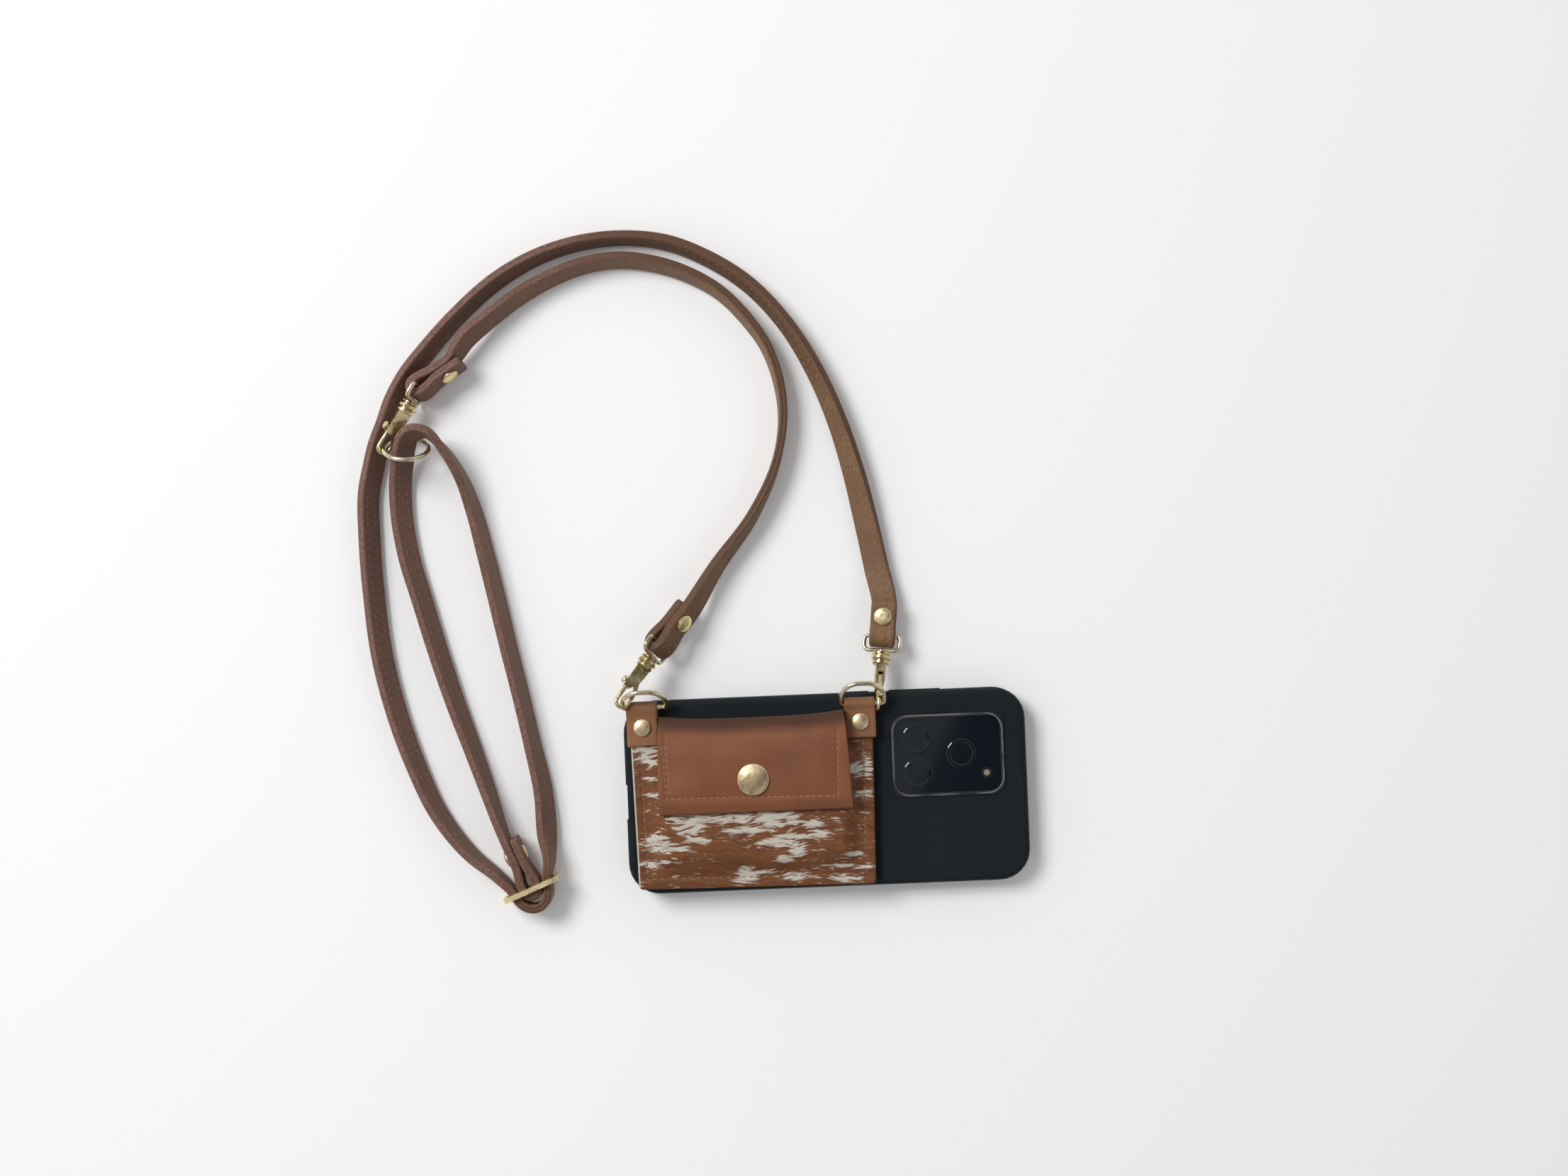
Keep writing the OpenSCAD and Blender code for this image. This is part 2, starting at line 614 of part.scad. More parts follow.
module snap_cap() {
  color("#d9b25a") home() at_snap(flap_low + flap_t) {
    rotate_extrude() {
      polygon([
        [0, 0], [cap_r, 0], [cap_r, cap_h * 0.25], [cap_r * 0.92, cap_h * 0.52], [cap_r * 0.75, cap_h * 0.8],
        [cap_r * 0.45, cap_h * 0.96], [0, cap_h]
      ]);
    }
    translate([0, 0, -flap_t - web_t * 0.5]) cylinder(h = flap_t + web_t, r = post_r);
  }
}
module snap_socket() {
  color("#c9a24f") home() at_snap(flap_low - socket_t) difference() {
    cylinder(h = socket_t, r = cap_r * 0.74);
    translate([0, 0, -cut]) cylinder(h = socket_t - web_t + cut, r = nub_r + snap_gap);
    translate([0, 0, socket_t - web_t * 0.5]) cylinder(h = cut, r = post_r + rivet_fit);
  }
}
module snap_stud() {
  color("#c9a24f") home() at_snap(front_top) difference() {
    union() {
      cylinder(h = stud_t, r = nub_r * 2);
      cylinder(h = stud_t + nub_h, r = nub_r);
    }
    translate([0, 0, -cut]) cylinder(h = stud_t + nub_h * 0.5 + cut, r = post_r + rivet_fit);
  }
}
module snap_post() {
  color("#c9a24f") home() at_snap(front_z) {
    cylinder(h = flange_t, r = nub_r * 2);
    cylinder(h = front_t + stud_t + nub_h * 0.5, r = post_r);
  }
}

// Tabs: one strip folded round the bar of its ring, side view in Y and Z
module strip(a, b, lift_a, lift_b) {
  polygon([[a, lift_a], [b, lift_b], [b, lift_b + tab_t], [a, lift_a + tab_t]]);
}
module tab(i) {
  low = pouch_y1 - tab_hold;
  bend_y = pouch_y1 + flap_gap;
  difference() {
    translate([tab_x[i] - tab_w / 2, 0, 0]) rotate([90, 0, 90]) linear_extrude(tab_w) {
      strip(low, bend_y, case_t, case_t);
      strip(bend_y, bar_y[i], case_t, bar_z - loop_out);
      strip(low, bend_y, margin_top, margin_top);
      strip(bend_y, bar_y[i], margin_top, bar_z + loop_in);
      intersection() {
        translate([bar_y[i], bar_z]) difference() {
          circle(loop_out);
          circle(loop_in);
        }
        translate([bar_y[i], bar_z - loop_out]) square([loop_out, 2 * loop_out]);
      }
    }
    tab_rivet_holes();
    translate([tab_x[i], pouch_y1 - tab_rivet_in[i], case_t - cut])
      cylinder(h = cut + flange_t, r = tab_cap_r * 0.8 + rivet_fit);
  }
}
module tab_left() { color("#a8683a") home() tab(0); }
module tab_right() { color("#a8683a") home() tab(1); }
module cap_profile(r, h) {
  polygon([[0, 0], [r, 0], [r, h * 0.3], [r * 0.9, h * 0.62], [r * 0.66, h * 0.88], [r * 0.35, h], [0, h]]);
}
module tab_rivet(i) {
  top = margin_top + tab_t;
  color("#d9b25a") home() translate([tab_x[i], pouch_y1 - tab_rivet_in[i], 0]) {
    translate([0, 0, top]) rotate_extrude() cap_profile(tab_cap_r, tab_t);
    translate([0, 0, case_t]) cylinder(h = top - case_t, r = rivet_stem_r);
    translate([0, 0, case_t]) cylinder(h = flange_t, r = tab_cap_r * 0.8);
  }
}
module tab_rivet_left() { tab_rivet(0); }
module tab_rivet_right() { tab_rivet(1); }

// D ring lying in XY with its bar on the X axis
module d_ring(i) {
  wire_r = ring_wire / 2;
  flat_top = ring_w / 2 - ring_arc;
  color("#d8bf86") home() translate([ring_x[i], bar_y[i], bar_z]) rotate([ring_tilt[i], 0, 0]) {
    translate([-ring_w / 2 + ring_corner, 0, 0]) rod(ring_w - 2 * ring_corner, wire_r);
    translate([-flat_top, ring_side + ring_arc, 0]) rod(2 * flat_top, wire_r);
    for (s = [0, 1]) mirror([s, 0, 0]) {
      translate([ring_w / 2 - ring_corner, ring_corner, 0]) rotate([0, 0, -90]) bend(ring_corner, wire_r, 90);
      translate([ring_w / 2, ring_corner, 0]) rotate([-90, 0, 0]) cylinder(h = ring_side - ring_corner, r = wire_r);
      translate([flat_top, ring_side, 0]) bend(ring_arc, wire_r, 90);
    }
  }
}
module d_ring_left() { d_ring(0); }
module d_ring_right() { d_ring(1); }

// Hook parts, in the hook's own place
module put_hook(h) {
  home() translate(h[CATCH]) rotate([0, 0, h[TURN]]) rotate([0, h[DIP], 0]) rotate([h[ROLL], 0, 0])
    translate([-h[SLACK], -bow_y, 0]) children();
}
module lever_slot() {
  deep = lever_t + 2 * slot_gap;
  translate([body_x - cut, web_y, -deep / 2]) cube([slot_end - body_x + cut, body_w, deep]);
  translate([web_end, floor_y, -deep / 2]) cube([slot_end - web_end, body_w, deep]);
  translate([stem_window[0], -body_w, -deep / 2]) cube([stem_window[1] - stem_window[0], body_w, deep]);
}
module body_shape() {
  half = body_w / 2;
  intersection() {
    translate([0, 0, -body_t]) linear_extrude(2 * body_t) polygon([
      [body_x, web_y - body_w * 0.42], [collar_x, -half], [collar_x, half], [slot_end, half * 0.96],
      [pivot.x - hub_r, half * 0.8], [body_x, web_y + bow_wire * 0.3]
    ]);
    rotate([-90, 0, 0]) translate([0, 0, -body_w]) linear_extrude(2 * body_w) polygon([
      [body_x, -body_t * 0.4], [pivot.x - hub_r, -body_t / 2], [collar_x, -body_t / 2],
      [collar_x, body_t / 2], [pivot.x - hub_r, body_t / 2], [body_x, body_t * 0.4]
    ]);
  }
}
module collar() {
  r = collar_r;
  x = collar_l;
  translate([collar_x, 0, 0]) rotate([0, 90, 0]) rotate_extrude() polygon([
    [0, 0], [r * 0.78, 0], [r * 0.88, x * 0.06], [r * 0.88, x * 0.2], [r * 0.74, x * 0.26], [r * 0.74, x * 0.34],
    [r * 0.95, x * 0.4], [r, x * 0.46], [r, x * 0.6], [r * 0.95, x * 0.66], [r * 0.74, x * 0.7], [r * 0.74, x * 0.78],
    [r * 0.92, x * 0.84], [r * 0.92, x * 0.94], [r * 0.85, x], [0, x]
  ]);
}
module hook_body(h) {
  wire_r = bow_wire / 2;
  rod_y = bow_y - bow_r;
  color("#d3ae5b") put_hook(h) difference() {
    union() {
      body_shape();
      collar();
      translate([bow_x, rod_y, 0]) rod(body_x - bow_x + wire_r, wire_r);
      translate([bow_x, bow_y, 0]) rotate([0, 0, 90]) bend(bow_r, wire_r, 180);
      translate([bow_x, bow_y + bow_r, 0]) rod(tip_x - bow_x - wire_r, wire_r);
      translate([tip_x - wire_r, bow_y + bow_r, 0]) sphere(wire_r);
    }
    lever_slot();
    translate([pivot.x, pivot.y, -body_t]) cylinder(h = 2 * body_t, r = pin_r);
    translate([slot_end - cut, spring_y, 0]) rod(spring_to - slot_end + cut, spring_bore_r);
    translate([head_x - head_gap, 0, 0]) rod(head_t + 2 * head_gap, head_r + head_gap);
    translate([head_x, 0, 0]) rod(collar_l + cut, stem_r + run_gap);
  }
}
module hook_lever(h) {
  tip_y = bow_y + bow_r;
  blade = bow_wire / 2;
  color("#c79f4a") put_hook(h) difference() {
    union() {
      translate([0, 0, -lever_t / 2]) linear_extrude(lever_t) {
        translate(pivot) circle(hub_r);
        polygon([
          [pivot.x, pivot.y + hub_r], [body_x + blade, tip_y + blade * 0.4], [tip_x + gate_gap + blade, tip_y + blade],
          [tip_x + gate_gap, tip_y + blade * 0.8], [tip_x + gate_gap, tip_y - blade],
          [body_x + blade, tip_y - 2 * blade], [knob_x + knob_stem / 2, web_y + knob_stem * 0.6],
          [pivot.x - hub_r * 0.5, pivot.y - hub_r * 0.85]
        ]);
        translate([knob_x - knob_stem / 2, knob_y]) square([knob_stem, tip_y - knob_y - hub_r]);
        polygon([
          [pivot.x - hub_r * 0.3, pivot.y - hub_r * 0.9], [spring_from - gate_gap, spring_y - hub_r * 0.5],
          [spring_from - gate_gap, spring_y + hub_r * 0.5], [pivot.x + hub_r * 0.5, pivot.y + hub_r * 0.5]
        ]);
      }
      translate([knob_x, knob_y, 0]) rotate([90, 0, 0]) rotate_extrude() cap_profile(knob_r, knob_h);
    }
    translate([pivot.x, pivot.y, -body_t]) cylinder(h = 2 * body_t, r = pin_r + run_gap);
  }
}
module hook_pin(h) {
  color("#b9b4a8") put_hook(h) translate([pivot.x, pivot.y, -body_t / 2]) cylinder(h = body_t, r = pin_r);
}
// Coil of wire along X
function coil_at(a, r, rise) = [rise * a / 360, r * cos(a), r * sin(a)];
module coil(turns, r, wire_r, l) {
  per = 10;
  sides = 6;
  n = turns * per;
  rise = (l - 2 * wire_r) / turns;
  points = [for (i = [0:n], j = [0:sides - 1])
    let (a = 360 * i / per, b = 360 * j / sides)
    coil_at(a, r + wire_r * cos(b), rise) + [wire_r + wire_r * sin(b), 0, 0]];
  skin = [for (i = [0:n - 1], j = [0:sides - 1])
    let (k = (j + 1) % sides)
    [i * sides + j, i * sides + k, (i + 1) * sides + k, (i + 1) * sides + j]];
  polyhedron(
    points,
    concat([[for (j = [sides - 1:-1:0]) j]], skin, [[for (j = [0:sides - 1]) n * sides + j]]),
    convexity = 4
  );
}
module hook_spring(h) {
  color("#9a9a9a") put_hook(h) translate([spring_from, spring_y, 0])
    coil(spring_turns, spring_r, spring_wire / 2, spring_to - spring_from);
}
module hook_eye(h) {
  wire_r = eye_wire / 2;
  half = eye_w / 2;
  color("#d8bf86") put_hook(h) rotate([eye_roll(h) - h[ROLL], 0, 0]) {
    translate([head_x, 0, 0]) rod(head_t, head_r);
    translate([head_x, 0, 0]) rod(eye_foot - head_x, stem_r);
    translate([eye_foot, eye_low_r - half, 0]) rotate([-90, 0, 0])
      cylinder(h = eye_w - 2 * eye_low_r, r = wire_r);
    translate([eye_bar, eye_top_r - half, 0]) rotate([-90, 0, 0])
      cylinder(h = eye_w - 2 * eye_top_r, r = wire_r);
    for (s = [0, 1]) mirror([0, s, 0]) {
      translate([eye_foot + eye_low_r, half - eye_low_r, 0]) rotate([0, 0, 90]) bend(eye_low_r, wire_r, 90);
      translate([eye_bar - eye_top_r, half - eye_top_r, 0]) bend(eye_top_r, wire_r, 90);
      translate([eye_foot + eye_low_r, half, 0]) rod(eye_rise - eye_low_r - eye_top_r, wire_r);
    }
  }
}
module hook_left_body() { hook_body(LEFT); }
module hook_left_lever() { hook_lever(LEFT); }
module hook_left_pin() { hook_pin(LEFT); }
module hook_left_spring() { hook_spring(LEFT); }
module hook_left_eye() { hook_eye(LEFT); }
module hook_right_body() { hook_body(RIGHT); }
module hook_right_lever() { hook_lever(RIGHT); }
module hook_right_pin() { hook_pin(RIGHT); }
module hook_right_spring() { hook_spring(RIGHT); }
module hook_right_eye() { hook_eye(RIGHT); }
module hook_upper_body() { hook_body(UPPER); }
module hook_upper_lever() { hook_lever(UPPER); }
module hook_upper_pin() { hook_pin(UPPER); }
module hook_upper_spring() { hook_spring(UPPER); }
module hook_upper_eye() { hook_eye(UPPER); }

// Strap: one eight sided band through its stations
section = [
  [half_w, half_t - strap_edge], [half_w - strap_edge, half_t], [strap_edge - half_w, half_t],
  [-half_w, half_t - strap_edge], [-half_w, strap_edge - half_t], [strap_edge - half_w, -half_t],
  [half_w - strap_edge, -half_t], [half_w, strap_edge - half_t]
];
module band(stations) {
  n = len(stations);
  k = len(section);
  points = [for (s = stations, q = section) s[0] + q[0] * s[2] + q[1] * s[1]];
  skin = [for (i = [0:n - 2], j = [0:k - 1])
    let (m = (j + 1) % k) [i * k + j, (i + 1) * k + j, (i + 1) * k + m, i * k + m]];
  polyhedron(
    points, concat([[for (j = [0:k - 1]) j]], skin, [[for (j = [k - 1:-1:0]) (n - 1) * k + j]]), convexity = 10
  );
}
// Place a thing on a fold, at the rivet, with Z out of the face on the n side
module on_frame(p, x, y, z) {
  multmatrix([[x.x, y.x, z.x, p.x], [x.y, y.y, z.y, p.y], [x.z, y.z, z.z, p.z], [0, 0, 0, 1]]) children();
}
module at_fold(h) {
  f = fold_frame(h);
  on_frame(eye_at(h) + h[RIVET] * f[0], f[0], f[1], f[2]) children();
}
module at_slider_rivet() {
  on_frame(slider_c + slider_rivet_s * slider_n, slider_n, [0, 0, -1], -slider_a) children();
}
stack = strap_t + layer_gap / 2;
module rivet_hole() { translate([0, 0, -2 * stack]) cylinder(h = 4 * stack, r = rivet_stem_r + rivet_fit); }
module rivet(side) {
  translate([0, 0, -stack]) cylinder(h = 2 * stack, r = rivet_stem_r);
  for (s = [-1, 1]) scale([1, 1, s]) translate([0, 0, stack])
    rotate_extrude() cap_profile(s == side ? strap_cap_r : strap_cap_r * 0.8, s == side ? rivet_rise : rivet_rise * 0.5);
}
module strap_short() {
  color("#6b4a3a") home() difference() {
    band(short_stations);
    at_fold(LEFT) rivet_hole();
    at_fold(UPPER) rivet_hole();
  }
}
module strap_long() {
  color("#6b4a3a") home() difference() {
    band(long_stations);
    at_fold(RIGHT) rivet_hole();
    at_slider_rivet() rivet_hole();
  }
}
module rivet_left() { color("#d9b25a") home() at_fold(LEFT) rivet(-1); }
module rivet_upper() { color("#d9b25a") home() at_fold(UPPER) rivet(1); }
module rivet_right() { color("#d9b25a") home() at_fold(RIGHT) rivet(1); }
module rivet_slider() { color("#d9b25a") home() at_slider_rivet() rivet(1); }
module strap_ring() {
  color("#d8bf86") home() translate(o_ring_at) rotate([0, 0, o_ring_turn]) rotate([-o_ring_tilt, 0, 0])
    rotate_extrude() translate([o_ring_c, 0]) circle(ring_wire / 2);
}
module strap_slider() {
  window_l = (slider_l - 2 * slider_t - 2 * slider_bar_r) / 2;
  color("#d8bf86") home() translate(slider_c) rotate([90, 0, slider_turn])
    translate([0, 0, -slider_deep / 2]) {
      difference() {
        slab(slider_l, slider_h, slider_t, slider_deep);
        translate([0, 0, -cut])
          slab(slider_l - 2 * slider_t, slider_h - 2 * slider_t, slider_t * 0.4, slider_deep + 2 * cut);
      }
      translate([0, slider_t - slider_h / 2, slider_deep / 2]) rotate([-90, 0, 0])
        cylinder(h = slider_h - 2 * slider_t, r = slider_bar_r);
    }
}

phone_case();
phone_frame();
screen_glass();
camera_plate();
camera_trim();
camera_lenses();
flash_lens();
volume_key();
power_key();
adhesive_pad();
pouch_back();
pouch_front();
flap();
snap_cap();
snap_socket();
snap_stud();
snap_post();
tab_left();
tab_right();
tab_rivet_left();
tab_rivet_right();
d_ring_left();
d_ring_right();
hook_left_body();
hook_left_lever();
hook_left_pin();
hook_left_spring();
hook_left_eye();
hook_right_body();
hook_right_lever();
hook_right_pin();
hook_right_spring();
hook_right_eye();
hook_upper_body();
hook_upper_lever();
hook_upper_pin();
hook_upper_spring();
hook_upper_eye();
strap_short();
strap_long();
strap_ring();
strap_slider();
rivet_left();
rivet_upper();
rivet_right();
rivet_slider();
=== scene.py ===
"""Leather card pouch on a phone case with a long hooked strap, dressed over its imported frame."""

import bpy
import numpy as np
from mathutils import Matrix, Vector


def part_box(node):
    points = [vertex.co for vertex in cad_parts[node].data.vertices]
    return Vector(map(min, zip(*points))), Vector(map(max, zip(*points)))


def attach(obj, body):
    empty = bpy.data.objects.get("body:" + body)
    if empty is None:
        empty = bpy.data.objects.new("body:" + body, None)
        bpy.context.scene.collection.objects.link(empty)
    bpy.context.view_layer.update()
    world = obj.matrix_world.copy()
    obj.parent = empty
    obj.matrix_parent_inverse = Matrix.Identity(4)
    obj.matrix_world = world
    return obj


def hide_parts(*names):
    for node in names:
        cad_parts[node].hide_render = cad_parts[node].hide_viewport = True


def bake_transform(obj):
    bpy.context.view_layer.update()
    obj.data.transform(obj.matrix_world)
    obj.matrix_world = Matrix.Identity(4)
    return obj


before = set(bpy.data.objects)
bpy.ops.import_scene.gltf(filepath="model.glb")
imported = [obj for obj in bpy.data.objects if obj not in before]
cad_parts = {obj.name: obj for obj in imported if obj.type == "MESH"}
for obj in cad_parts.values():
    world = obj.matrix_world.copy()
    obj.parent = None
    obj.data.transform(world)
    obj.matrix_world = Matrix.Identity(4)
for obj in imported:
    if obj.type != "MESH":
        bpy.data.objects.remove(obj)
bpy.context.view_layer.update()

# The view
# The photograph looks straight down from 0.9 m above the case's back, turned a little against the
# phone. One scale, 3.319 pixels to the millimetre, holds there, so 2212 pixels see 666.5 mm.
MM = 0.001
PHOTO_TURN = np.radians(2.35)
PHOTO_MIDDLE = (-14.7 * MM, 84.2 * MM)
PHOTO_HEIGHT = 912 * MM
CASE_DISTANCE, CASE_WIDTH_SEEN = 0.9, 0.6665
eye = bpy.data.cameras.new("photo_eye")
eye.sensor_width = 36
eye.lens = eye.sensor_width * CASE_DISTANCE / CASE_WIDTH_SEEN
camera = bpy.data.objects.new("photo_eye", eye)
bpy.context.scene.collection.objects.link(camera)
camera.location = (*PHOTO_MIDDLE, PHOTO_HEIGHT)
camera.rotation_euler = (0, 0, -PHOTO_TURN)
bpy.context.scene.camera = camera
bpy.context.scene.view_settings.view_transform = "Standard"


# Table and light
# A white table top in a pale room. A window lamp shines from the upper left, a weak one from the
# lower right, and a dim panel hangs overhead. Finishes are sums of sockets, so each reads like a formula.
class Socket:
    """A value, colour or vector in one material's tree; + - * add Math nodes."""

    def __init__(self, tree, out=None):
        self.tree = tree
        self.out = out

    def node(self, kind, settings=(), sockets=(), out=0):
        """Adds a node of this type, sets it up, joins its sockets and gives one of its outputs."""
        made = self.tree.nodes.new("ShaderNode" + kind)
        for name, value in dict(settings).items():
            setattr(made, name, value)
        for name, value in dict(sockets).items():
            self.join(made.inputs[name], value)
        return Socket(self.tree, made.outputs[out])

    def join(self, port, value):
        """Links a socket to the port, or sets the port to a number, vector or colour."""
        if isinstance(value, Socket):
            self.tree.links.new(value.out, port)
        elif hasattr(value, "__len__") and len(value) == 3 and port.type == "RGBA":
            port.default_value = (*value, 1)
        else:
            port.default_value = value

    def sum(self, how, a, b=0.0):
        """One Math node; how is its operation."""
        return self.node("Math", {"operation": how}, {0: a, 1: b})

    def __add__(self, other):
        return self.sum("ADD", self, other)

    __radd__ = __add__

    def __mul__(self, other):
        return self.sum("MULTIPLY", self, other)

    __rmul__ = __mul__

    def __sub__(self, other):
        return self.sum("SUBTRACT", self, other)

    def __rsub__(self, other):
        return self.sum("SUBTRACT", other, self)

    def over(self, low, high):
        """0 below low, 1 above high, and between them 3u² - 2u³, where u is the part of the way."""
        return self.node("MapRange", {"interpolation_type": "SMOOTHSTEP"},
                         {"Value": self, "From Min": low, "From Max": high})

    def mix(self, a, b):
        """Colour a where this is 0, b where it is 1."""
        return self.node("Mix", {"data_type": "RGBA"}, {0: self, 6: a, 7: b}, out=2)

    def noise(self, place, scale, detail=3.0, rough=0.5):
        """Cloudy noise about 0.5, with scale cells to each unit of place."""
        return self.node("TexNoise", {}, {"Vector": place, "Scale": scale, "Detail": detail,
                                          "Roughness": rough})

    def moved(self, place, scale=(1, 1, 1), shift=(0, 0, 0)):
        """The place times scale, axis by axis, plus shift."""
        return self.node("Mapping", {}, {"Vector": place, "Scale": scale, "Location": shift})

    def part(self, axis):
        """One of the three numbers of this vector."""
        return self.node("SeparateXYZ", {}, {0: self}, out="XYZ".index(axis))


def finish(name, roughness=0.5, metallic=0.0, **fixed):
    """A new material with plain values on its shader; gives it, the shader and the start of its sums."""
    made = bpy.data.materials.new(name)
    made.use_nodes = True
    shader = made.node_tree.nodes["Principled BSDF"]
    shader.inputs["Roughness"].default_value = roughness
    shader.inputs["Metallic"].default_value = metallic
    for key, value in fixed.items():
        shader.inputs[key.replace("_", " ")].default_value = value
    return made, shader, Socket(made.node_tree)


def flat_floor(half):
    """One square of the table, half to each side of the origin, at height 0."""
    mesh = bpy.data.meshes.new("table_top")
    corners = [(-half, -half, 0), (half, -half, 0), (half, half, 0), (-half, half, 0)]
    mesh.from_pydata(corners, [], [(0, 1, 2, 3)])
    top = bpy.data.objects.new("table_top", mesh)
    bpy.context.scene.collection.objects.link(top)
    return top


TABLE_GLOW = 0.05
floor = flat_floor(half=3)
table_paint, table_shader, t = finish("table_paint", roughness=0.9, Specular_IOR_Level=0.1)
table_shader.inputs["Base Color"].default_value = (0.99, 0.99, 0.99, 1)
# The table glows a little to the eye and in reflections, and lights nothing, so it stays white.
ray = {way: t.node("LightPath", out="Is %s Ray" % way) for way in ("Camera", "Glossy", "Transmission")}
seen = t.sum("MAXIMUM", ray["Camera"], t.sum("MAXIMUM", ray["Glossy"], ray["Transmission"]))
t.join(table_shader.inputs["Emission Strength"], seen * TABLE_GLOW)
table_shader.inputs["Emission Color"].default_value = (1, 1, 1, 1)
floor.data.materials.append(table_paint)


def soft_lamp(name, place, aim, size, power, shape="DISK"):
    """A round or square area lamp of this width, turned from its place to its aim."""
    light = bpy.data.lights.new(name, "AREA")
    light.shape = shape
    light.size = size
    light.energy = power
    lamp = bpy.data.objects.new(name, light)
    bpy.context.scene.collection.objects.link(lamp)
    lamp.location = place
    lamp.rotation_euler = (Vector(aim) - Vector(place)).to_track_quat("-Z", "Y").to_euler()
    return lamp


LAMP_AIM = (-0.05, 0.05, 0)
soft_lamp("window_light", place=(-1.36, 1.11, 1.88), aim=LAMP_AIM, size=1.13, power=41.4)
soft_lamp("room_light", place=(1.2, -0.9, 1.6), aim=LAMP_AIM, size=1.4, power=2)
# The panel shows as the paler left part of the camera's glass and as a soft gleam on the metal.
PANEL_X, PANEL_Y, PANEL_TURN = -0.341, 0.115, np.radians(-26.6)
panel = soft_lamp("ceiling_panel", place=(PANEL_X, PANEL_Y, 1.6), aim=(PANEL_X, PANEL_Y, 0), size=1.1,
                  power=1.4, shape="SQUARE")
panel.rotation_euler = (0, 0, PANEL_TURN)
# The room is pale, and darker overhead and towards one side, so metal has something to reflect.
ROOM_STRENGTH = 0.6
PALE_WALL, DARK_CEILING, DARK_SIDE = (0.98, 0.99, 1.0), (0.16, 0.16, 0.17), (0.5, -0.8, 0.2)
sky = bpy.data.worlds.new("room")
bpy.context.scene.world = sky
sky.use_nodes = True
walls = sky.node_tree.nodes["Background"]
walls.inputs["Strength"].default_value = ROOM_STRENGTH
t = Socket(sky.node_tree)
way = t.node("TexCoord", out="Generated")
shade_side = t.node("VectorMath", {"operation": "DOT_PRODUCT"}, {0: way, 1: DARK_SIDE}, out=1)
dim = t.sum("MAXIMUM", way.part("Z").over(0.62, 0.86), shade_side.over(0.35, 0.9) * 0.6)
t.join(walls.inputs["Color"], dim.mix(PALE_WALL, DARK_CEILING))


# Straps
# Two flat leather straps, each of two layers sewn together along both sides. One end of each is
# folded round a hook's eye or the slider's bar and riveted; between them they lie on edge in loose bows.
# Each row is a point of the centreline in millimetres, then the direction that the face looks.
SHORT_LINE = np.array([
    (-56.98, 78.48, 7.79, 0.65, -0.42, 0.63), (-58.82, 76.29, 8.25, 0.65, -0.42, 0.63),
    (-64.02, 70.09, 9.53, 0.65, -0.42, 0.63), (-70.42, 63.83, 10.19, 0.65, -0.42, 0.63),
    (-71.02, 62.83, 10.53, 0.84, -0.09, 0.53), (-71.22, 61.79, 11.11, 0.91, 0.24, 0.34),
    (-71, 60.87, 11.86, 0.84, 0.54, 0.1), (-70.37, 60.2, 12.65, 0.63, 0.76, -0.16),
    (-69.45, 59.88, 13.36, 0.34, 0.86, -0.39), (-68.37, 59.97, 13.9, -0.01, 0.83, -0.56),
    (-67.29, 60.45, 14.17, -0.36, 0.67, -0.65), (-66.38, 61.25, 14.13, -0.65, 0.42, -0.63),
    (-61.48, 68.47, 12.01, -0.65, 0.42, -0.63), (-56.28, 74.67, 10.72, -0.65, 0.42, -0.63),
    (-42.7, 94.93, 6.94, -0.75, 0.54, -0.37), (-26.8, 115.73, 5.88, -0.84, 0.51, -0.17),
    (-15.3, 140.13, 5.45, -0.95, 0.32, 0), (-12.2, 159.23, 5.56, -1, 0.04, 0.07),
    (-13.8, 174.33, 5.65, -0.97, -0.22, 0.14), (-18.8, 188.83, 5.68, -0.89, -0.43, 0.17),
    (-26.3, 200.13, 5.71, -0.76, -0.61, 0.21), (-37.4, 211.93, 5.73, -0.62, -0.75, 0.24),
    (-49.8, 219.63, 5.74, -0.41, -0.87, 0.28), (-65.3, 225.23, 5.75, -0.23, -0.92, 0.31),
    (-79.9, 227.23, 5.75, -0.01, -0.95, 0.33), (-94.7, 225.63, 5.75, 0.21, -0.92, 0.34),
    (-109.4, 220.63, 5.75, 0.38, -0.85, 0.36), (-124.4, 212.53, 6.34, 0.49, -0.78, 0.39),
    (-136.4, 203.73, 7.71, 0.56, -0.71, 0.44), (-146.3, 195.33, 9.28, 0.63, -0.62, 0.47),
    (-152.9, 186.95, 8.54, 0.53, -0.81, 0.26), (-159.78, 182.48, 8.54, 0.53, -0.81, 0.26),
    (-168.18, 178.35, 8.24, 0.53, -0.81, 0.26), (-169.05, 177.51, 8.31, 0.81, -0.54, 0.24),
    (-169.54, 176.42, 8.48, 0.97, -0.19, 0.18), (-169.58, 175.24, 8.74, 0.98, 0.19, 0.1),
    (-169.15, 174.15, 9.05, 0.84, 0.54, 0), (-168.33, 173.32, 9.35, 0.57, 0.81, -0.1),
    (-167.24, 172.87, 9.61, 0.22, 0.96, -0.18), (-166.04, 172.87, 9.79, -0.17, 0.96, -0.24),
    (-164.92, 173.33, 9.85, -0.53, 0.81, -0.26), (-157.72, 179.32, 9.55, -0.53, 0.81, -0.26),
    (-150.85, 183.79, 9.55, -0.53, 0.81, -0.26), (-147.58, 185.91, 9.55, -0.53, 0.81, -0.26),
])
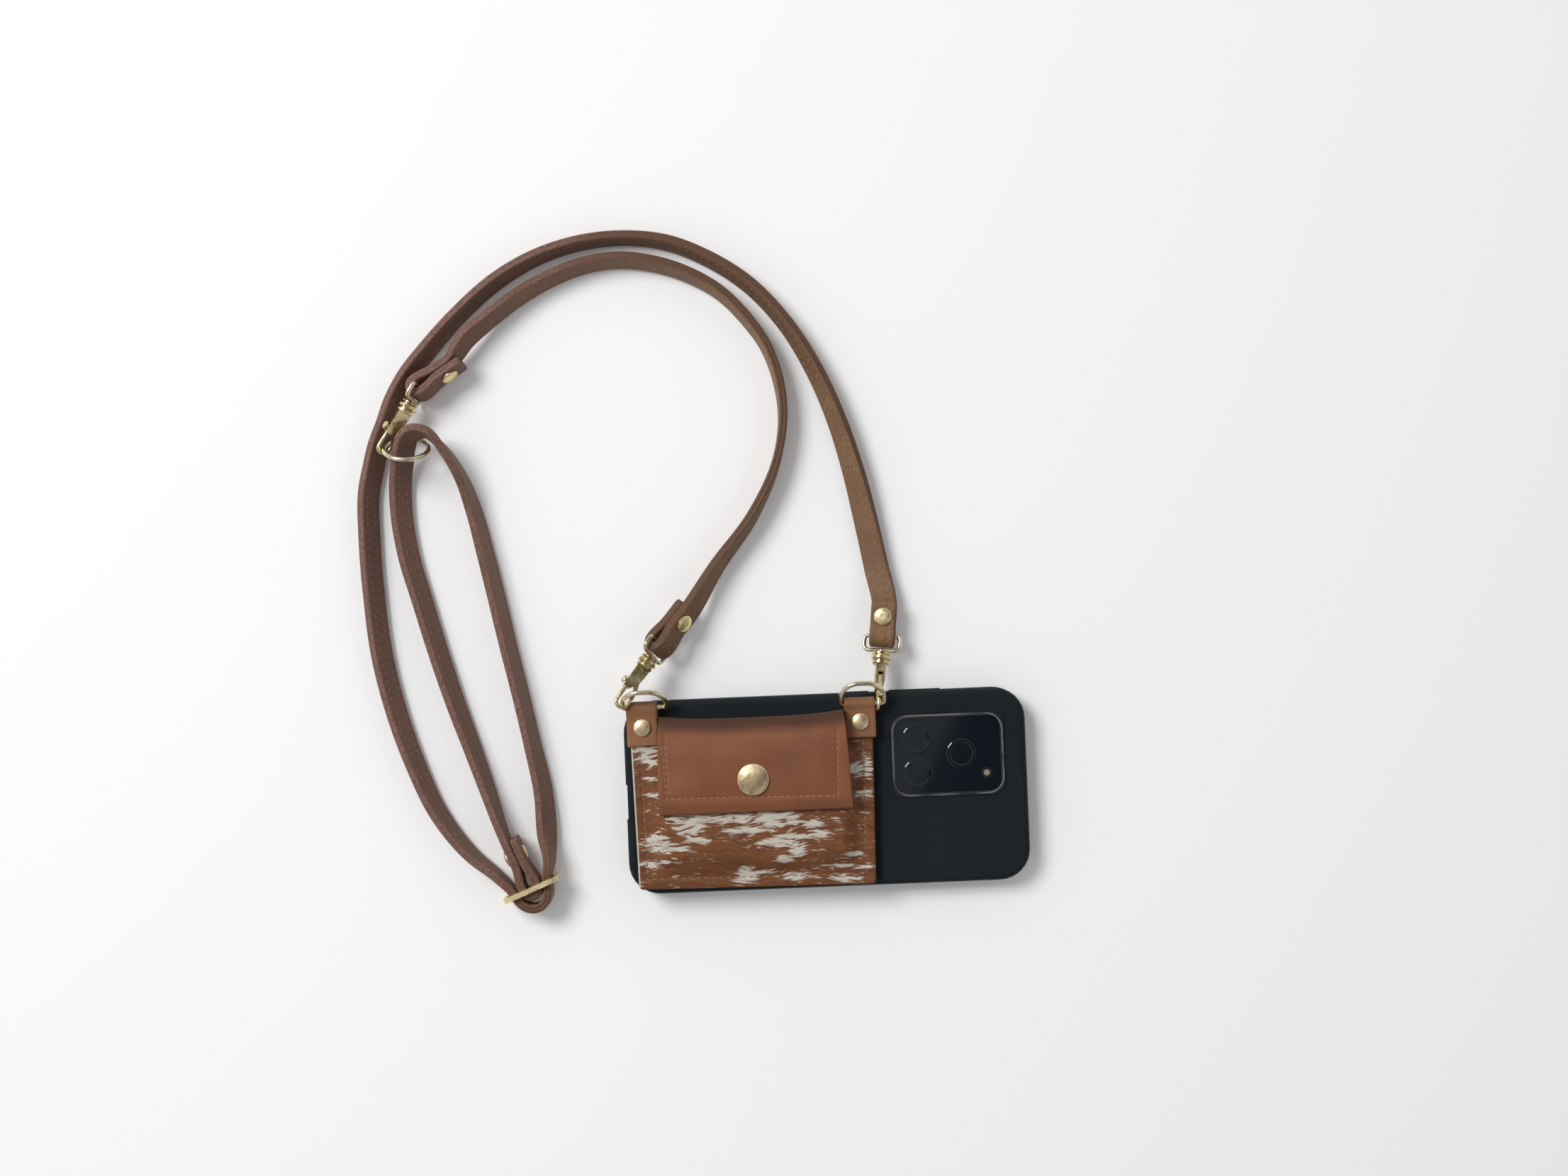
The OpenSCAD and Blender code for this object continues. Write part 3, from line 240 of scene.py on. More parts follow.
LONG_LINE = np.array([
    (27.75, 76.81, 9.08, 0.14, -0.01, -0.99), (27.49, 74.43, 9.08, 0.14, -0.01, -0.99),
    (26.64, 66.27, 9.08, 0.14, -0.01, -0.99), (26.02, 61.91, 10.22, 0.14, -0.01, -0.99),
    (25.93, 60.73, 9.99, 0.17, 0.37, -0.91), (25.91, 59.72, 9.32, 0.17, 0.69, -0.7),
    (25.98, 59.03, 8.33, 0.15, 0.91, -0.38), (26.12, 58.78, 7.15, 0.1, 0.99, 0),
    (26.31, 59, 5.98, 0.04, 0.92, 0.38), (26.52, 59.65, 4.98, -0.02, 0.71, 0.7),
    (26.72, 60.64, 4.32, -0.09, 0.39, 0.91), (26.88, 61.82, 4.08, -0.14, 0.01, 0.99),
    (27.18, 66.21, 5.22, -0.14, 0.01, 0.99), (28.03, 74.37, 5.22, -0.14, 0.01, 0.99),
    (25.2, 91.63, 3.69, -0.34, -0.06, 0.94), (21.9, 109.63, 4.38, -0.49, -0.1, 0.87),
    (16.8, 133.93, 5.19, -0.69, -0.17, 0.71), (10.7, 155.43, 5.53, -0.78, -0.26, 0.57),
    (2.2, 176.73, 5.68, -0.79, -0.39, 0.47), (-9.9, 197.73, 5.74, -0.76, -0.54, 0.37),
    (-24.8, 214.73, 5.75, -0.63, -0.7, 0.34), (-41.9, 226.63, 5.75, -0.47, -0.83, 0.29),
    (-58.7, 233.93, 5.74, -0.27, -0.93, 0.26), (-76.6, 236.63, 5.72, -0.04, -0.97, 0.22),
    (-94.7, 235.53, 5.73, 0.16, -0.96, 0.24), (-112.8, 230.73, 5.74, 0.35, -0.9, 0.28),
    (-130.8, 221.53, 5.75, 0.52, -0.78, 0.34), (-149.4, 206.43, 5.74, 0.62, -0.69, 0.37),
    (-161.8, 193.53, 5.71, 0.67, -0.6, 0.44), (-173, 180.03, 5.66, 0.71, -0.51, 0.48),
    (-178.2, 170.63, 5.61, 0.77, -0.36, 0.53), (-181.9, 160.93, 5.56, 0.77, -0.31, 0.56),
    (-185.6, 152.03, 5.56, 0.78, -0.27, 0.56), (-188.2, 142.73, 5.56, 0.8, -0.21, 0.56),
    (-190.4, 133.23, 5.56, 0.83, -0.08, 0.56), (-191.1, 112.53, 5.56, 0.83, 0, 0.56),
    (-190.2, 88.63, 5.56, 0.83, 0.06, 0.56), (-187.6, 61.43, 5.56, 0.82, 0.13, 0.56),
    (-182.3, 37.03, 5.61, 0.82, 0.22, 0.53), (-175.5, 15.63, 5.68, 0.83, 0.31, 0.47),
    (-165.9, -6.77, 5.74, 0.81, 0.46, 0.37), (-152.3, -24.97, 6.51, 0.73, 0.65, 0.21),
    (-142, -33.77, 7.36, 0.69, 0.72, 0.07), (-134.28, -42.14, 7.7, 0.93, 0.37, 0),
    (-132.55, -45.01, 7.7, 0.72, 0.7, 0), (-130.06, -47.03, 7.7, 0.39, 0.92, 0),
    (-127.19, -47.9, 7.7, 0.01, 1, 0), (-124.39, -47.49, 7.7, -0.37, 0.93, 0),
    (-122.08, -45.86, 7.7, -0.7, 0.72, 0), (-120.6, -43.25, 7.7, -0.92, 0.39, 0),
    (-120.2, -40.07, 7.7, -1, 0.01, 0), (-120.92, -36.79, 7.7, -0.93, -0.37, 0),
    (-119.6, -28.77, 7.81, -0.99, 0.04, -0.1), (-120.2, -17.27, 6.65, -0.86, -0.04, -0.5),
    (-121.1, 0.43, 5.68, -0.88, -0.11, -0.47), (-124.9, 21.43, 5.74, -0.91, -0.17, -0.37),
    (-129.1, 42.93, 5.75, -0.91, -0.19, -0.36), (-133.6, 64.23, 5.74, -0.91, -0.19, -0.37),
    (-137.8, 85.53, 5.74, -0.9, -0.18, -0.39), (-141.6, 103.73, 5.74, -0.91, -0.2, -0.37),
    (-145.8, 122.13, 5.75, -0.92, -0.25, -0.31), (-151, 138.03, 8.25, -0.91, -0.4, -0.14),
    (-158, 150.03, 11.51, -0.81, -0.59, 0.03), (-164.3, 156.43, 14.33, -0.41, -0.88, 0.24),
    (-170.6, 155.83, 14.68, 0.5, -0.73, 0.47), (-173.8, 149.83, 11.78, 0.71, -0.28, 0.64),
    (-175.4, 143.63, 8.27, 0.71, -0.16, 0.68), (-176.6, 137.73, 6.38, 0.76, -0.06, 0.64),
    (-177, 124.03, 5.45, 0.79, 0.04, 0.62), (-174.8, 105.73, 5.53, 0.8, 0.15, 0.57),
    (-169.4, 84.53, 5.61, 0.82, 0.21, 0.53), (-163.7, 63.03, 5.65, 0.83, 0.23, 0.5),
    (-157.4, 41.53, 5.69, 0.85, 0.26, 0.45), (-150.4, 20.23, 5.74, 0.88, 0.29, 0.37),
    (-143.6, -0.97, 6.33, 0.92, 0.29, 0.24), (-139.8, -13.17, 7.21, 0.94, 0.31, 0.1),
    (-136.73, -21.9, 7.7, 0.93, 0.37, 0), (-133.68, -29.52, 7.7, 0.93, 0.37, 0),
    (-130.57, -40.66, 7.7, 0.93, 0.37, 0), (-129.89, -41.7, 7.7, 0.72, 0.7, 0),
    (-128.86, -42.41, 7.7, 0.39, 0.92, 0), (-127.64, -42.67, 7.7, 0.01, 1, 0),
    (-126.41, -42.44, 7.7, -0.37, 0.93, 0), (-125.36, -41.76, 7.7, -0.7, 0.72, 0),
    (-124.66, -40.73, 7.7, -0.92, 0.39, 0), (-124.4, -39.51, 7.7, -1, 0.01, 0),
    (-124.63, -38.28, 7.7, -0.93, -0.37, 0), (-130.06, -28.07, 7.7, -0.93, -0.37, 0),
    (-133.1, -20.45, 7.7, -0.93, -0.37, 0), (-134.33, -17.39, 7.7, -0.93, -0.37, 0),
])
STRAP_W = 10.5 * MM
STRAP_T = 3.6 * MM
SEAM_OFF = 2.4 * MM
STITCH_PITCH = 3.6 * MM
FOLD_RUN = 26 * MM
ROOT = "case_and_pouch"


def mesh_piece(name, points, faces, uv=None, smooth=True, body=ROOT):
    """A new piece at the origin with these points and faces, on one body if one is named."""
    mesh = bpy.data.meshes.new(name)
    mesh.from_pydata(points.tolist(), [], faces.tolist() if hasattr(faces, "tolist") else faces)
    if uv is not None:
        layer = mesh.uv_layers.new(name="along")
        corner = np.zeros(len(mesh.loops), np.int32)
        mesh.loops.foreach_get("vertex_index", corner)
        layer.data.foreach_set("uv", np.asarray(uv, np.float32)[corner].ravel())
    if smooth:
        mesh.polygons.foreach_set("use_smooth", np.ones(len(mesh.polygons), bool))
    mesh.update()
    piece = bpy.data.objects.new(name, mesh)
    bpy.context.scene.collection.objects.link(piece)
    if body:
        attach(piece, body)
    return piece


def run_along(points):
    """How far along its line each point lies: the sum of the straight steps up to it."""
    return np.concatenate([[0], np.cumsum(np.linalg.norm(np.diff(points, axis=0), axis=1))])


def smooth_line(rows, step):
    """A cubic through the rows, with the chord length as its parameter. The slope at a row is the mean
    of the slopes on its two sides, each weighted by the length of the other side."""
    s = run_along(rows[:, :3])
    h = np.linalg.norm(np.diff(rows[:, :3], axis=0), axis=1)
    slope = np.diff(rows, axis=0) / h[:, None]
    inner = (slope[:-1] * h[1:, None] + slope[1:] * h[:-1, None]) / (h[:-1] + h[1:])[:, None]
    m = np.vstack([slope[:1], inner, slope[-1:]])
    t = np.linspace(0, s[-1], int(s[-1] / step) + 1)
    i = np.clip(np.searchsorted(s, t, side="right") - 1, 0, len(h) - 1)
    u = ((t - s[i]) / h[i])[:, None]
    k = h[i][:, None]
    return ((2 * u**3 - 3 * u**2 + 1) * rows[i] + (u**3 - 2 * u**2 + u) * k * m[i]
            + (3 * u**2 - 2 * u**3) * rows[i + 1] + (u**3 - u**2) * k * m[i + 1])


def band_frames(rows, step):
    """Centre, along, face normal and width direction at even steps on the line; the width is the face
    normal crossed with the way along."""
    line = smooth_line(rows, step)
    p = line[:, :3]
    along = np.gradient(p, axis=0)
    along /= np.linalg.norm(along, axis=1)[:, None]
    n = line[:, 3:]
    n = n - (n * along).sum(1)[:, None] * along
    n /= np.linalg.norm(n, axis=1)[:, None]
    return p, along, n, np.cross(n, along)


def ring_faces(rings, k):
    """Quads between neighbouring rings of k points, and one flat face over each end."""
    i, j = np.meshgrid(np.arange(rings - 1), np.arange(k), indexing="ij")
    m = (j + 1) % k
    quads = np.stack([i * k + j, (i + 1) * k + j, (i + 1) * k + m, i * k + m], -1).reshape(-1, 4).tolist()
    return quads + [list(range(k)), list(range(rings * k - 1, (rings - 1) * k - 1, -1))]


def strap_section():
    """Outline of the strap from +w round to +w: rounded corners, a dip at each row of stitches, and a
    notch along the middle of both edges where the two layers meet."""
    hw, ht, edge = STRAP_W / 2, STRAP_T / 2, 0.75 * MM
    dip, dip_half = 0.16 * MM, 0.7 * MM
    notch, notch_half = 0.22 * MM, 0.2 * MM
    top = [(hw, ht - edge), (hw - edge * 0.3, ht - edge * 0.3), (hw - edge, ht)]
    for c in (SEAM_OFF, -SEAM_OFF):
        top += [(c + dip_half, ht), (c, ht - dip), (c - dip_half, ht)]
    top += [(edge - hw, ht), (edge * 0.3 - hw, ht - edge * 0.3), (-hw, ht - edge)]
    low = [(-x, -y) for x, y in top]
    left = [(-hw, notch_half), (notch - hw, 0), (-hw, -notch_half)]
    right = [(-x, -y) for x, y in left]
    return np.array(top + left + low + right)


def strap_band(name, line, step=1.3 * MM):
    """The strap's outline carried along its line. Each point is the centre, plus the outline's width
    times the width direction, plus its height times the face normal; both ends are a tenth smaller.
    U runs along the strap in decimetres and V across it from 0 to 1."""
    p, along, n, w = band_frames(line * np.array([MM] * 3 + [1] * 3), step)
    outline = strap_section()
    ends = np.ones((len(p), 1, 1))
    ends[[0, -1]] = 0.9
    spots = p[:, None] + ends * (outline[None, :, :1] * w[:, None] + outline[None, :, 1:] * n[:, None])
    run = run_along(p)
    uv = np.stack([np.repeat(run, len(outline)) * 10, np.tile(outline[:, 0] / STRAP_W + 0.5, len(p))], -1)
    piece = mesh_piece(name, spots.reshape(-1, 3), ring_faces(len(p), len(outline)), uv)
    return piece, p, along, n, w, run[-1]


def thread_form(length, thick, rings=5, sides=6):
    """One stitch along X: a rod that thins and dives below the face towards its ends, both with the
    fourth power of the distance from its middle."""
    u = np.linspace(-1, 1, rings)
    a = np.arange(sides) * 2 * np.pi / sides
    r = thick * (1 - 0.35 * u**4)
    x = np.repeat(u * length / 2, sides)
    y = (r[:, None] * np.cos(a)).ravel()
    z = (r[:, None] * np.sin(a) - (thick * 1.5 * u**4)[:, None]).ravel()
    return np.stack([x, y, z], -1), ring_faces(rings, sides)


def stitches(name, centres, along, up, length, thick, material, body=ROOT):
    """The one stitch, copied to each centre with its length along the seam and its crown up."""
    form, faces = thread_form(length, thick)
    side = np.cross(up, along)
    spots = (centres[:, None] + form[None, :, :1] * along[:, None] + form[None, :, 1:2] * side[:, None]
             + form[None, :, 2:] * up[:, None])
    every = [[v + k * len(form) for v in f] for k in range(len(centres)) for f in faces]
    piece = mesh_piece(name, spots.reshape(-1, 3), every, body=body)
    piece.data.materials.append(material)
    return piece


def strap_stitches(name, p, along, n, w):
    """Both rows on both faces, at one pitch, left out where the strap is folded."""
    run = run_along(p)
    spots = np.arange(FOLD_RUN, run[-1] - FOLD_RUN, STITCH_PITCH)
    near = lambda rows: np.stack([np.interp(spots, run, rows[:, c]) for c in range(3)], -1)
    centre, way, face, wide = near(p), near(along), near(n), near(w)
    lift = STRAP_T / 2 - 0.14 * MM
    rows = [(s, f) for s in (-1, 1) for f in (-1, 1)]
    centres = np.vstack([centre + s * SEAM_OFF * wide + f * lift * face for s, f in rows])
    up = np.vstack([f * face for s, f in rows])
    return stitches(name, centres, np.vstack([way] * 4), up, STITCH_PITCH * 0.74, 0.27 * MM, strap_thread)


def place_of(start, kind="Object"):
    """Where a point of the surface lies: the object's own coordinates, or its UV."""
    return start.node("TexCoord", out=kind)


def bumped(start, height, depth, distance=1 * MM, under=None):
    """The normal tilted by a height that is distance tall at 1, over another bump if one is given."""
    sockets = {"Height": height, "Strength": depth, "Distance": distance}
    if under is not None:
        sockets["Normal"] = under
    return start.node("Bump", {}, sockets)


def thread_finish(name, colour):
    """Matt thread: its colour darkened and its face broken by one fine noise, as its twist does."""
    made, shader, t = finish(name, roughness=0.7)
    twist = t.noise(place_of(t), 1400, 2)
    t.join(shader.inputs["Base Color"], twist.over(0.35, 0.65).mix([c * 0.72 for c in colour], colour))
    t.join(shader.inputs["Normal"], bumped(t, twist, 0.4, 0.1 * MM))
    return made


def waxed_leather(name, face, worn, edge):
    """Strap leather: face colour broken by paler rubbed patches and fine creases, with raw cut edges. It
    turns from brown to mauve towards the slider."""
    made, shader, t = finish(name, roughness=0.5, Specular_IOR_Level=0.3)
    where = place_of(t)
    across = place_of(t, "UV").part("Y")
    patches = t.noise(where, 38, 4, 0.6)
    grain = t.noise(where, 900, 4, 0.6)
    creases = t.node("TexVoronoi", {"feature": "DISTANCE_TO_EDGE"}, {"Vector": where, "Scale": 1500})
    rub = patches.over(0.40, 0.68)
    to_slider = -0.1 - where.part("X")
    cloud = t.noise(t.moved(where, shift=(5, 0, 0)), 14, 3, 0.6)
    mauve = (cloud + to_slider * 4).over(0.42, 0.66)
    dusk = [face[0] * 0.92, face[1] * 0.9, face[2] * 1.65]
    skin = mauve.mix(rub.mix(face, worn), rub.mix(dusk, [c * 1.25 for c in dusk]))
    skin = grain.over(0.3, 0.75).mix([c * 0.82 for c in face], skin)
    dusky_cut = [edge[0] * 1.75, edge[1] * 1.85, edge[2] * 2.6]
    cut = grain.over(0.25, 0.7).mix([c * 0.7 for c in edge], mauve.mix([c * 0.95 for c in edge], dusky_cut))
    skin = t.sum("ABSOLUTE", across - 0.5).over(0.47, 0.497).mix(skin, cut)
    t.join(shader.inputs["Base Color"], skin)
    t.join(shader.inputs["Roughness"], 0.44 + 0.2 * grain + 0.08 * rub)
    fine = bumped(t, creases.over(0.0, 0.25), 0.25, 0.12 * MM)
    t.join(shader.inputs["Normal"], bumped(t, patches * 0.6 + grain, 0.35, 0.3 * MM, fine))
    return made


strap_leather = waxed_leather("strap_leather", face=(0.21, 0.112, 0.057), worn=(0.31, 0.176, 0.088),
                              edge=(0.145, 0.073, 0.042))
strap_thread = thread_finish("strap_thread", (0.30, 0.19, 0.135))


def sewn_strap(node, line):
    """One strap with its seams in place of its CAD node, the points it follows, and its length."""
    band, p, along, n, w, length = strap_band(node + "_leather", line)
    band.data.materials.append(strap_leather)
    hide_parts(node)
    seams = strap_stitches(node + "_stitches", p, along, n, w)
    return band, seams, p[::4].tolist(), length


strap_long, long_seams, long_path, LONG_RUN = sewn_strap("strap_long", LONG_LINE)
strap_short, short_seams, short_path, SHORT_RUN = sewn_strap("strap_short", SHORT_LINE)


# Phone and case
# The phone lies face down in a moulded soft-touch case, near black with a blue cast. Its camera
# window is one dark glass plate with a thin satin trim round it. Keys, frame and screen are plain.
def dress(material, *nodes):
    """Gives carried-over CAD pieces their finish."""
    for node in nodes:
        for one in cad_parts[node].material_slots:
            one.material = material


def mottled(name, scale, low, high, **shader_values):
    """A finish whose colour drifts from low to high with one noise of this scale."""
    made, shader, t = finish(name, **shader_values)
    t.join(shader.inputs["Base Color"], t.noise(place_of(t), scale, 2).mix(low, high))
    return made


case_skin, shader, t = finish("case_skin", roughness=0.62, Specular_IOR_Level=0.14)
where = place_of(t)
dust = t.noise(where, 2600, 2, 0.7)
cloud = t.noise(where, 30, 2)
skin = (0.3 * cloud + 0.7 * dust).over(0.3, 0.8)
t.join(shader.inputs["Base Color"], skin.mix((0.0065, 0.0105, 0.0135), (0.0155, 0.0205, 0.0225)))
t.join(shader.inputs["Roughness"], 0.55 + 0.2 * cloud)
t.join(shader.inputs["Normal"], bumped(t, dust, 0.25, 0.08 * MM))
dress(case_skin, "phone_case")
key_skin = mottled("key_skin", 1500, (0.010, 0.014, 0.018), (0.017, 0.022, 0.026), roughness=0.5)
dress(key_skin, "volume_key", "power_key")
screen_black = mottled("screen_black", 20, (0.004, 0.004, 0.005), (0.007, 0.007, 0.009), roughness=0.06)
dress(screen_black, "screen_glass")
frame_metal = mottled("frame_metal", 400, (0.09, 0.095, 0.11), (0.12, 0.125, 0.14), roughness=0.35,
                      metallic=1.0)
dress(frame_metal, "phone_frame")

plate_glass, shader, t = finish("plate_glass", roughness=0.05)
sheen = t.noise(place_of(t), 60, 2)
t.join(shader.inputs["Base Color"], sheen.mix((0.0018, 0.0055, 0.0085), (0.003, 0.0075, 0.011)))
t.join(shader.inputs["Roughness"], 0.045 + 0.03 * sheen)
dress(plate_glass, "camera_plate", "camera_lenses")
# The flash is one pale yellow spot under the same dark glass.
flash_white, shader, t = finish("flash_white", roughness=0.25)
flash_middle = np.mean(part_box("flash_lens"), axis=0).tolist()
spot = t.node("VectorMath", {"operation": "DISTANCE"}, {0: place_of(t), 1: flash_middle}, out=1)
flash = spot.over(1.1 * MM, 1.5 * MM).mix((0.27, 0.26, 0.155), (0.008, 0.010, 0.014))
t.join(shader.inputs["Base Color"], flash)
dress(flash_white, "flash_lens")

# The trim is a bead 1 mm wide. Its crown is painted pale grey as a highlight, broken by noise, and its foot
# is as dark as the case.
# How far in from its outer edge a point lies is the corner's radius less its distance from the outline
# drawn that radius further in.
trim_metal, shader, t = finish("trim_metal", roughness=0.38)
where = place_of(t)
low, high = np.array(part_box("camera_trim"))
middle, half = (low + high) / 2, (high - low) / 2
TRIM_CORNER = 7.6 * MM
past = [t.sum("ABSOLUTE", where.part(axis) - float(middle[k])) - float(half[k] - TRIM_CORNER)
        for k, axis in enumerate("XY")]
over_x, over_y = (t.sum("MAXIMUM", one, 0.0) for one in past)
inward = TRIM_CORNER - t.sum("SQRT", over_x * over_x + over_y * over_y)
bead = inward.over(0.1 * MM, 0.35 * MM) * (1.0 - inward.over(0.8 * MM, 1.05 * MM))
crown = bead * t.noise(where, 90, 3).over(0.25, 0.6)
# Painted highlight: pale grey on the bead's crown, dark as the case elsewhere.
t.join(shader.inputs["Base Color"], crown.mix((0.010, 0.0125, 0.016), (0.15, 0.155, 0.16)))
dress(trim_metal, "camera_trim")


# Pouch front
# Hair-on hide, chestnut with white flecks that lie along the pouch. It is sewn to the back on three
# sides, swells over the cards, and was cut a little out of square. Sizes here are in millimetres.
POUCH_LOW, POUCH_HIGH = np.array([-82.4, -42.77]), np.array([20.6, 30.93])
POUCH_WIDE, POUCH_TALL = POUCH_HIGH - POUCH_LOW
POUCH_CORNER = 1.8
MARGIN_Z, FRONT_Z = 16.05, 20.45
HIDE_T = 1.6
MOUTH_X, MOUTH_Y = (-69.9, 8.1), 22.23
TAB_LINE_Y = 18.6
SIDE_LEAN, EDGE_RISE = 1.35, 1.75
SEAM_X, SEAM_LOW = (-78.5, 16.3), -38.4
MARGIN, SLOPE = 5, 9.4


def eased(u):
    """Half a cosine: flat at 0 and at 1."""
    return (1 - np.cos(np.pi * np.clip(u, 0, 1))) / 2


def as_cut(x, y):
    """The square outline moved to the cut one: both sides lean to the middle towards the bottom by up to
    1.35 mm, and the lower edge is raised by 1.75 mm on the left and 0.4 mm on the right."""
    down = (POUCH_HIGH[1] - y) / POUCH_TALL
    across = (x - POUCH_LOW[0]) / POUCH_WIDE
    rise = (EDGE_RISE - SIDE_LEAN * across) * eased((12 - y) / 48)
    return x + SIDE_LEAN * down * (1 - 2 * across), y + rise


def hide_height(x, y):
    """Margin height plus the swell. Each side lifts on an eased slope from its sewn margin; the three
    slopes are multiplied, and the middle crowns under and below the flap. The seam is pressed in, and
    the cut edges turn down."""
    up = eased((y - 14) / (TAB_LINE_Y - 14))
    start, wide = MARGIN + 7.2 * up, SLOPE - 5.6 * up
    left = eased((x - POUCH_LOW[0] - start) / wide)
    right = eased((POUCH_HIGH[0] - start - x) / wide)
    low = eased((y - POUCH_LOW[1] - MARGIN) / SLOPE)
    swell = left * right * low
    crown = 0.6 * swell * eased((-2 - y) / 12) * np.cos((x + 31) / 42)
    waves = 0.13 * swell * (np.sin(x * 0.31 + y * 0.17) + np.sin(x * 0.13 - y * 0.29 + 1))
    seams = [np.exp(-((x - s) / 0.7) ** 2) * (y < TAB_LINE_Y) for s in SEAM_X]
    seams.append(np.exp(-((y - SEAM_LOW) / 0.7) ** 2))
    pressed = 0.22 * np.maximum.reduce(seams)
    edge = np.minimum.reduce([x - POUCH_LOW[0], POUCH_HIGH[0] - x, y - POUCH_LOW[1], POUCH_HIGH[1] - y])
    turned = 0.3 * np.exp(-(edge / 0.4) ** 2)
    return MARGIN_Z + (FRONT_Z - MARGIN_Z) * swell + crown + waves - pressed - turned


def hide_top(x, y):
    """Points of the finished surface over these places of the square outline."""
    u, v = as_cut(x, y)
    return np.stack([u, v, hide_height(x, y)], -1)


def round_corner(x, y, r):
    """Points of a corner's square of side r, moved onto its quarter disc: each keeps its direction from
    the square's inner corner and takes its larger offset as its distance."""
    a = x - np.clip(x, POUCH_LOW[0] + r, POUCH_HIGH[0] - r)
    b = y - np.clip(y, POUCH_LOW[1] + r, POUCH_HIGH[1] - r)
    far = np.hypot(a, b)
    k = np.where(far > 0, np.maximum(abs(a), abs(b)) / np.where(far > 0, far, 1), 1)
    return x + a * (k - 1), y + b * (k - 1)


def grid_quads(rows, cols):
    """The quads of a grid of points: each point with the next one along its row, and those two above."""
    i, j = np.meshgrid(np.arange(rows - 1), np.arange(cols - 1), indexing="ij")
    return np.stack([i * cols + j, i * cols + j + 1, (i + 1) * cols + j + 1, (i + 1) * cols + j], -1)


def thicken(piece, thickness, offset):
    """Gives a sheet its thickness: below its face at offset -1, half on each side at 0. The cut edge
    takes the second material."""
    wall = piece.modifiers.new("wall", "SOLIDIFY")
    wall.thickness = thickness
    wall.offset = offset
    wall.use_even_offset = False
    wall.material_offset_rim = 1


# The grid is finer along the seams, so that they can be pressed in. Its cells over the mouth are left out.
by_seam = np.linspace(-1, 1, 5)
xs = [np.linspace(POUCH_LOW[0], MOUTH_X[0], 18), np.linspace(*MOUTH_X, 90),
      np.linspace(MOUTH_X[1], POUCH_HIGH[0], 18), *(s + by_seam for s in SEAM_X)]
ys = [np.linspace(POUCH_LOW[1], MOUTH_Y, 140), np.linspace(MOUTH_Y, POUCH_HIGH[1], 14), SEAM_LOW + by_seam]
xs, ys = (np.unique(np.concatenate(lines).round(4)) for lines in (xs, ys))
gx, gy = round_corner(*np.meshgrid(xs, ys), POUCH_CORNER)
quads = grid_quads(len(ys), len(xs))
mid_x, mid_y = (xs[1:] + xs[:-1]) / 2, (ys[1:] + ys[:-1]) / 2
in_mouth = (mid_y > MOUTH_Y)[:, None] & ((mid_x > MOUTH_X[0]) & (mid_x < MOUTH_X[1]))[None]
used, faces = np.unique(quads[~in_mouth], return_inverse=True)
spots = hide_top(gx, gy).reshape(-1, 3)[used]
pouch_hide = mesh_piece("pouch_hide", spots * MM, faces.reshape(-1, 4))
thicken(pouch_hide, HIDE_T * MM, offset=-1)

# Where white hair is common: ovals by their middle and half sizes in millimetres, soft at the rim. A
# point is as white as its nearest oval, exp(-0.7 d^1.3) with d the squared distance in half sizes.
WHITE_HAIR = np.array([
    (-57, -11.5, 10, 2.2), (-39.5, -11.7, 13, 2.2), (-23.7, -11.6, 11.5, 2.6), (-15.9, -13.2, 5, 3),
    (-58.9, -15.4, 6.2, 2.8), (-34.5, -16.8, 8.4, 1.9), (-22, -15, 5.3, 2.7), (-22.4, -22.7, 7.5, 2.2),
    (-14.5, -20.4, 8.4, 1.5), (-4.8, -19.8, 5.3, 1.9), (-6.4, -15.5, 4.4, 1.8), (-13.8, -26.4, 3.4, 3.2),
    (-18.8, -29.7, 3.5, 1.6), (-72.2, -18.8, 6.2, 1), (-71.9, -21.4, 8.4, 1.1), (-68.5, -23.9, 9.7, 1.3),
    (-75, -20.6, 4.4, 2.3), (-54.7, -20.4, 5.3, 1.2), (-76.2, -30.4, 5, 1.4), (-68.2, -29, 4, 0.9),
    (-34.9, -37.6, 4.6, 3), (-36.9, -34.2, 4.4, 1.8), (-30, -35.6, 6.2, 0.9), (-15.2, -37.9, 5.3, 2),
    (6.6, -39.5, 5.7, 1.8), (4.2, -34, 6.2, 0.9), (13.4, -35.2, 5.7, 1.1), (10.6, -29.2, 5.3, 1.1),
    (-76.4, 16.4, 5.5, 4), (-74, 12.8, 4, 1.9), (-73.7, -1.2, 4, 0.9), (-74.7, 5.9, 4, 0.9),
    (17.5, 11.7, 2.5, 1.5), (18, 7, 2.4, 4), (13, 6.5, 4.4, 2.3), (15.1, -4.1, 4.4, 1.4)])
away = (((spots[:, None, :2] - WHITE_HAIR[:, :2]) / WHITE_HAIR[:, 2:]) ** 2).sum(2)
white = np.exp(-(away ** 1.3) * 0.7).max(axis=1)
hair_map = pouch_hide.data.attributes.new("white_hair", "FLOAT", "POINT")
hair_map.data.foreach_set("value", white.astype(np.float32))


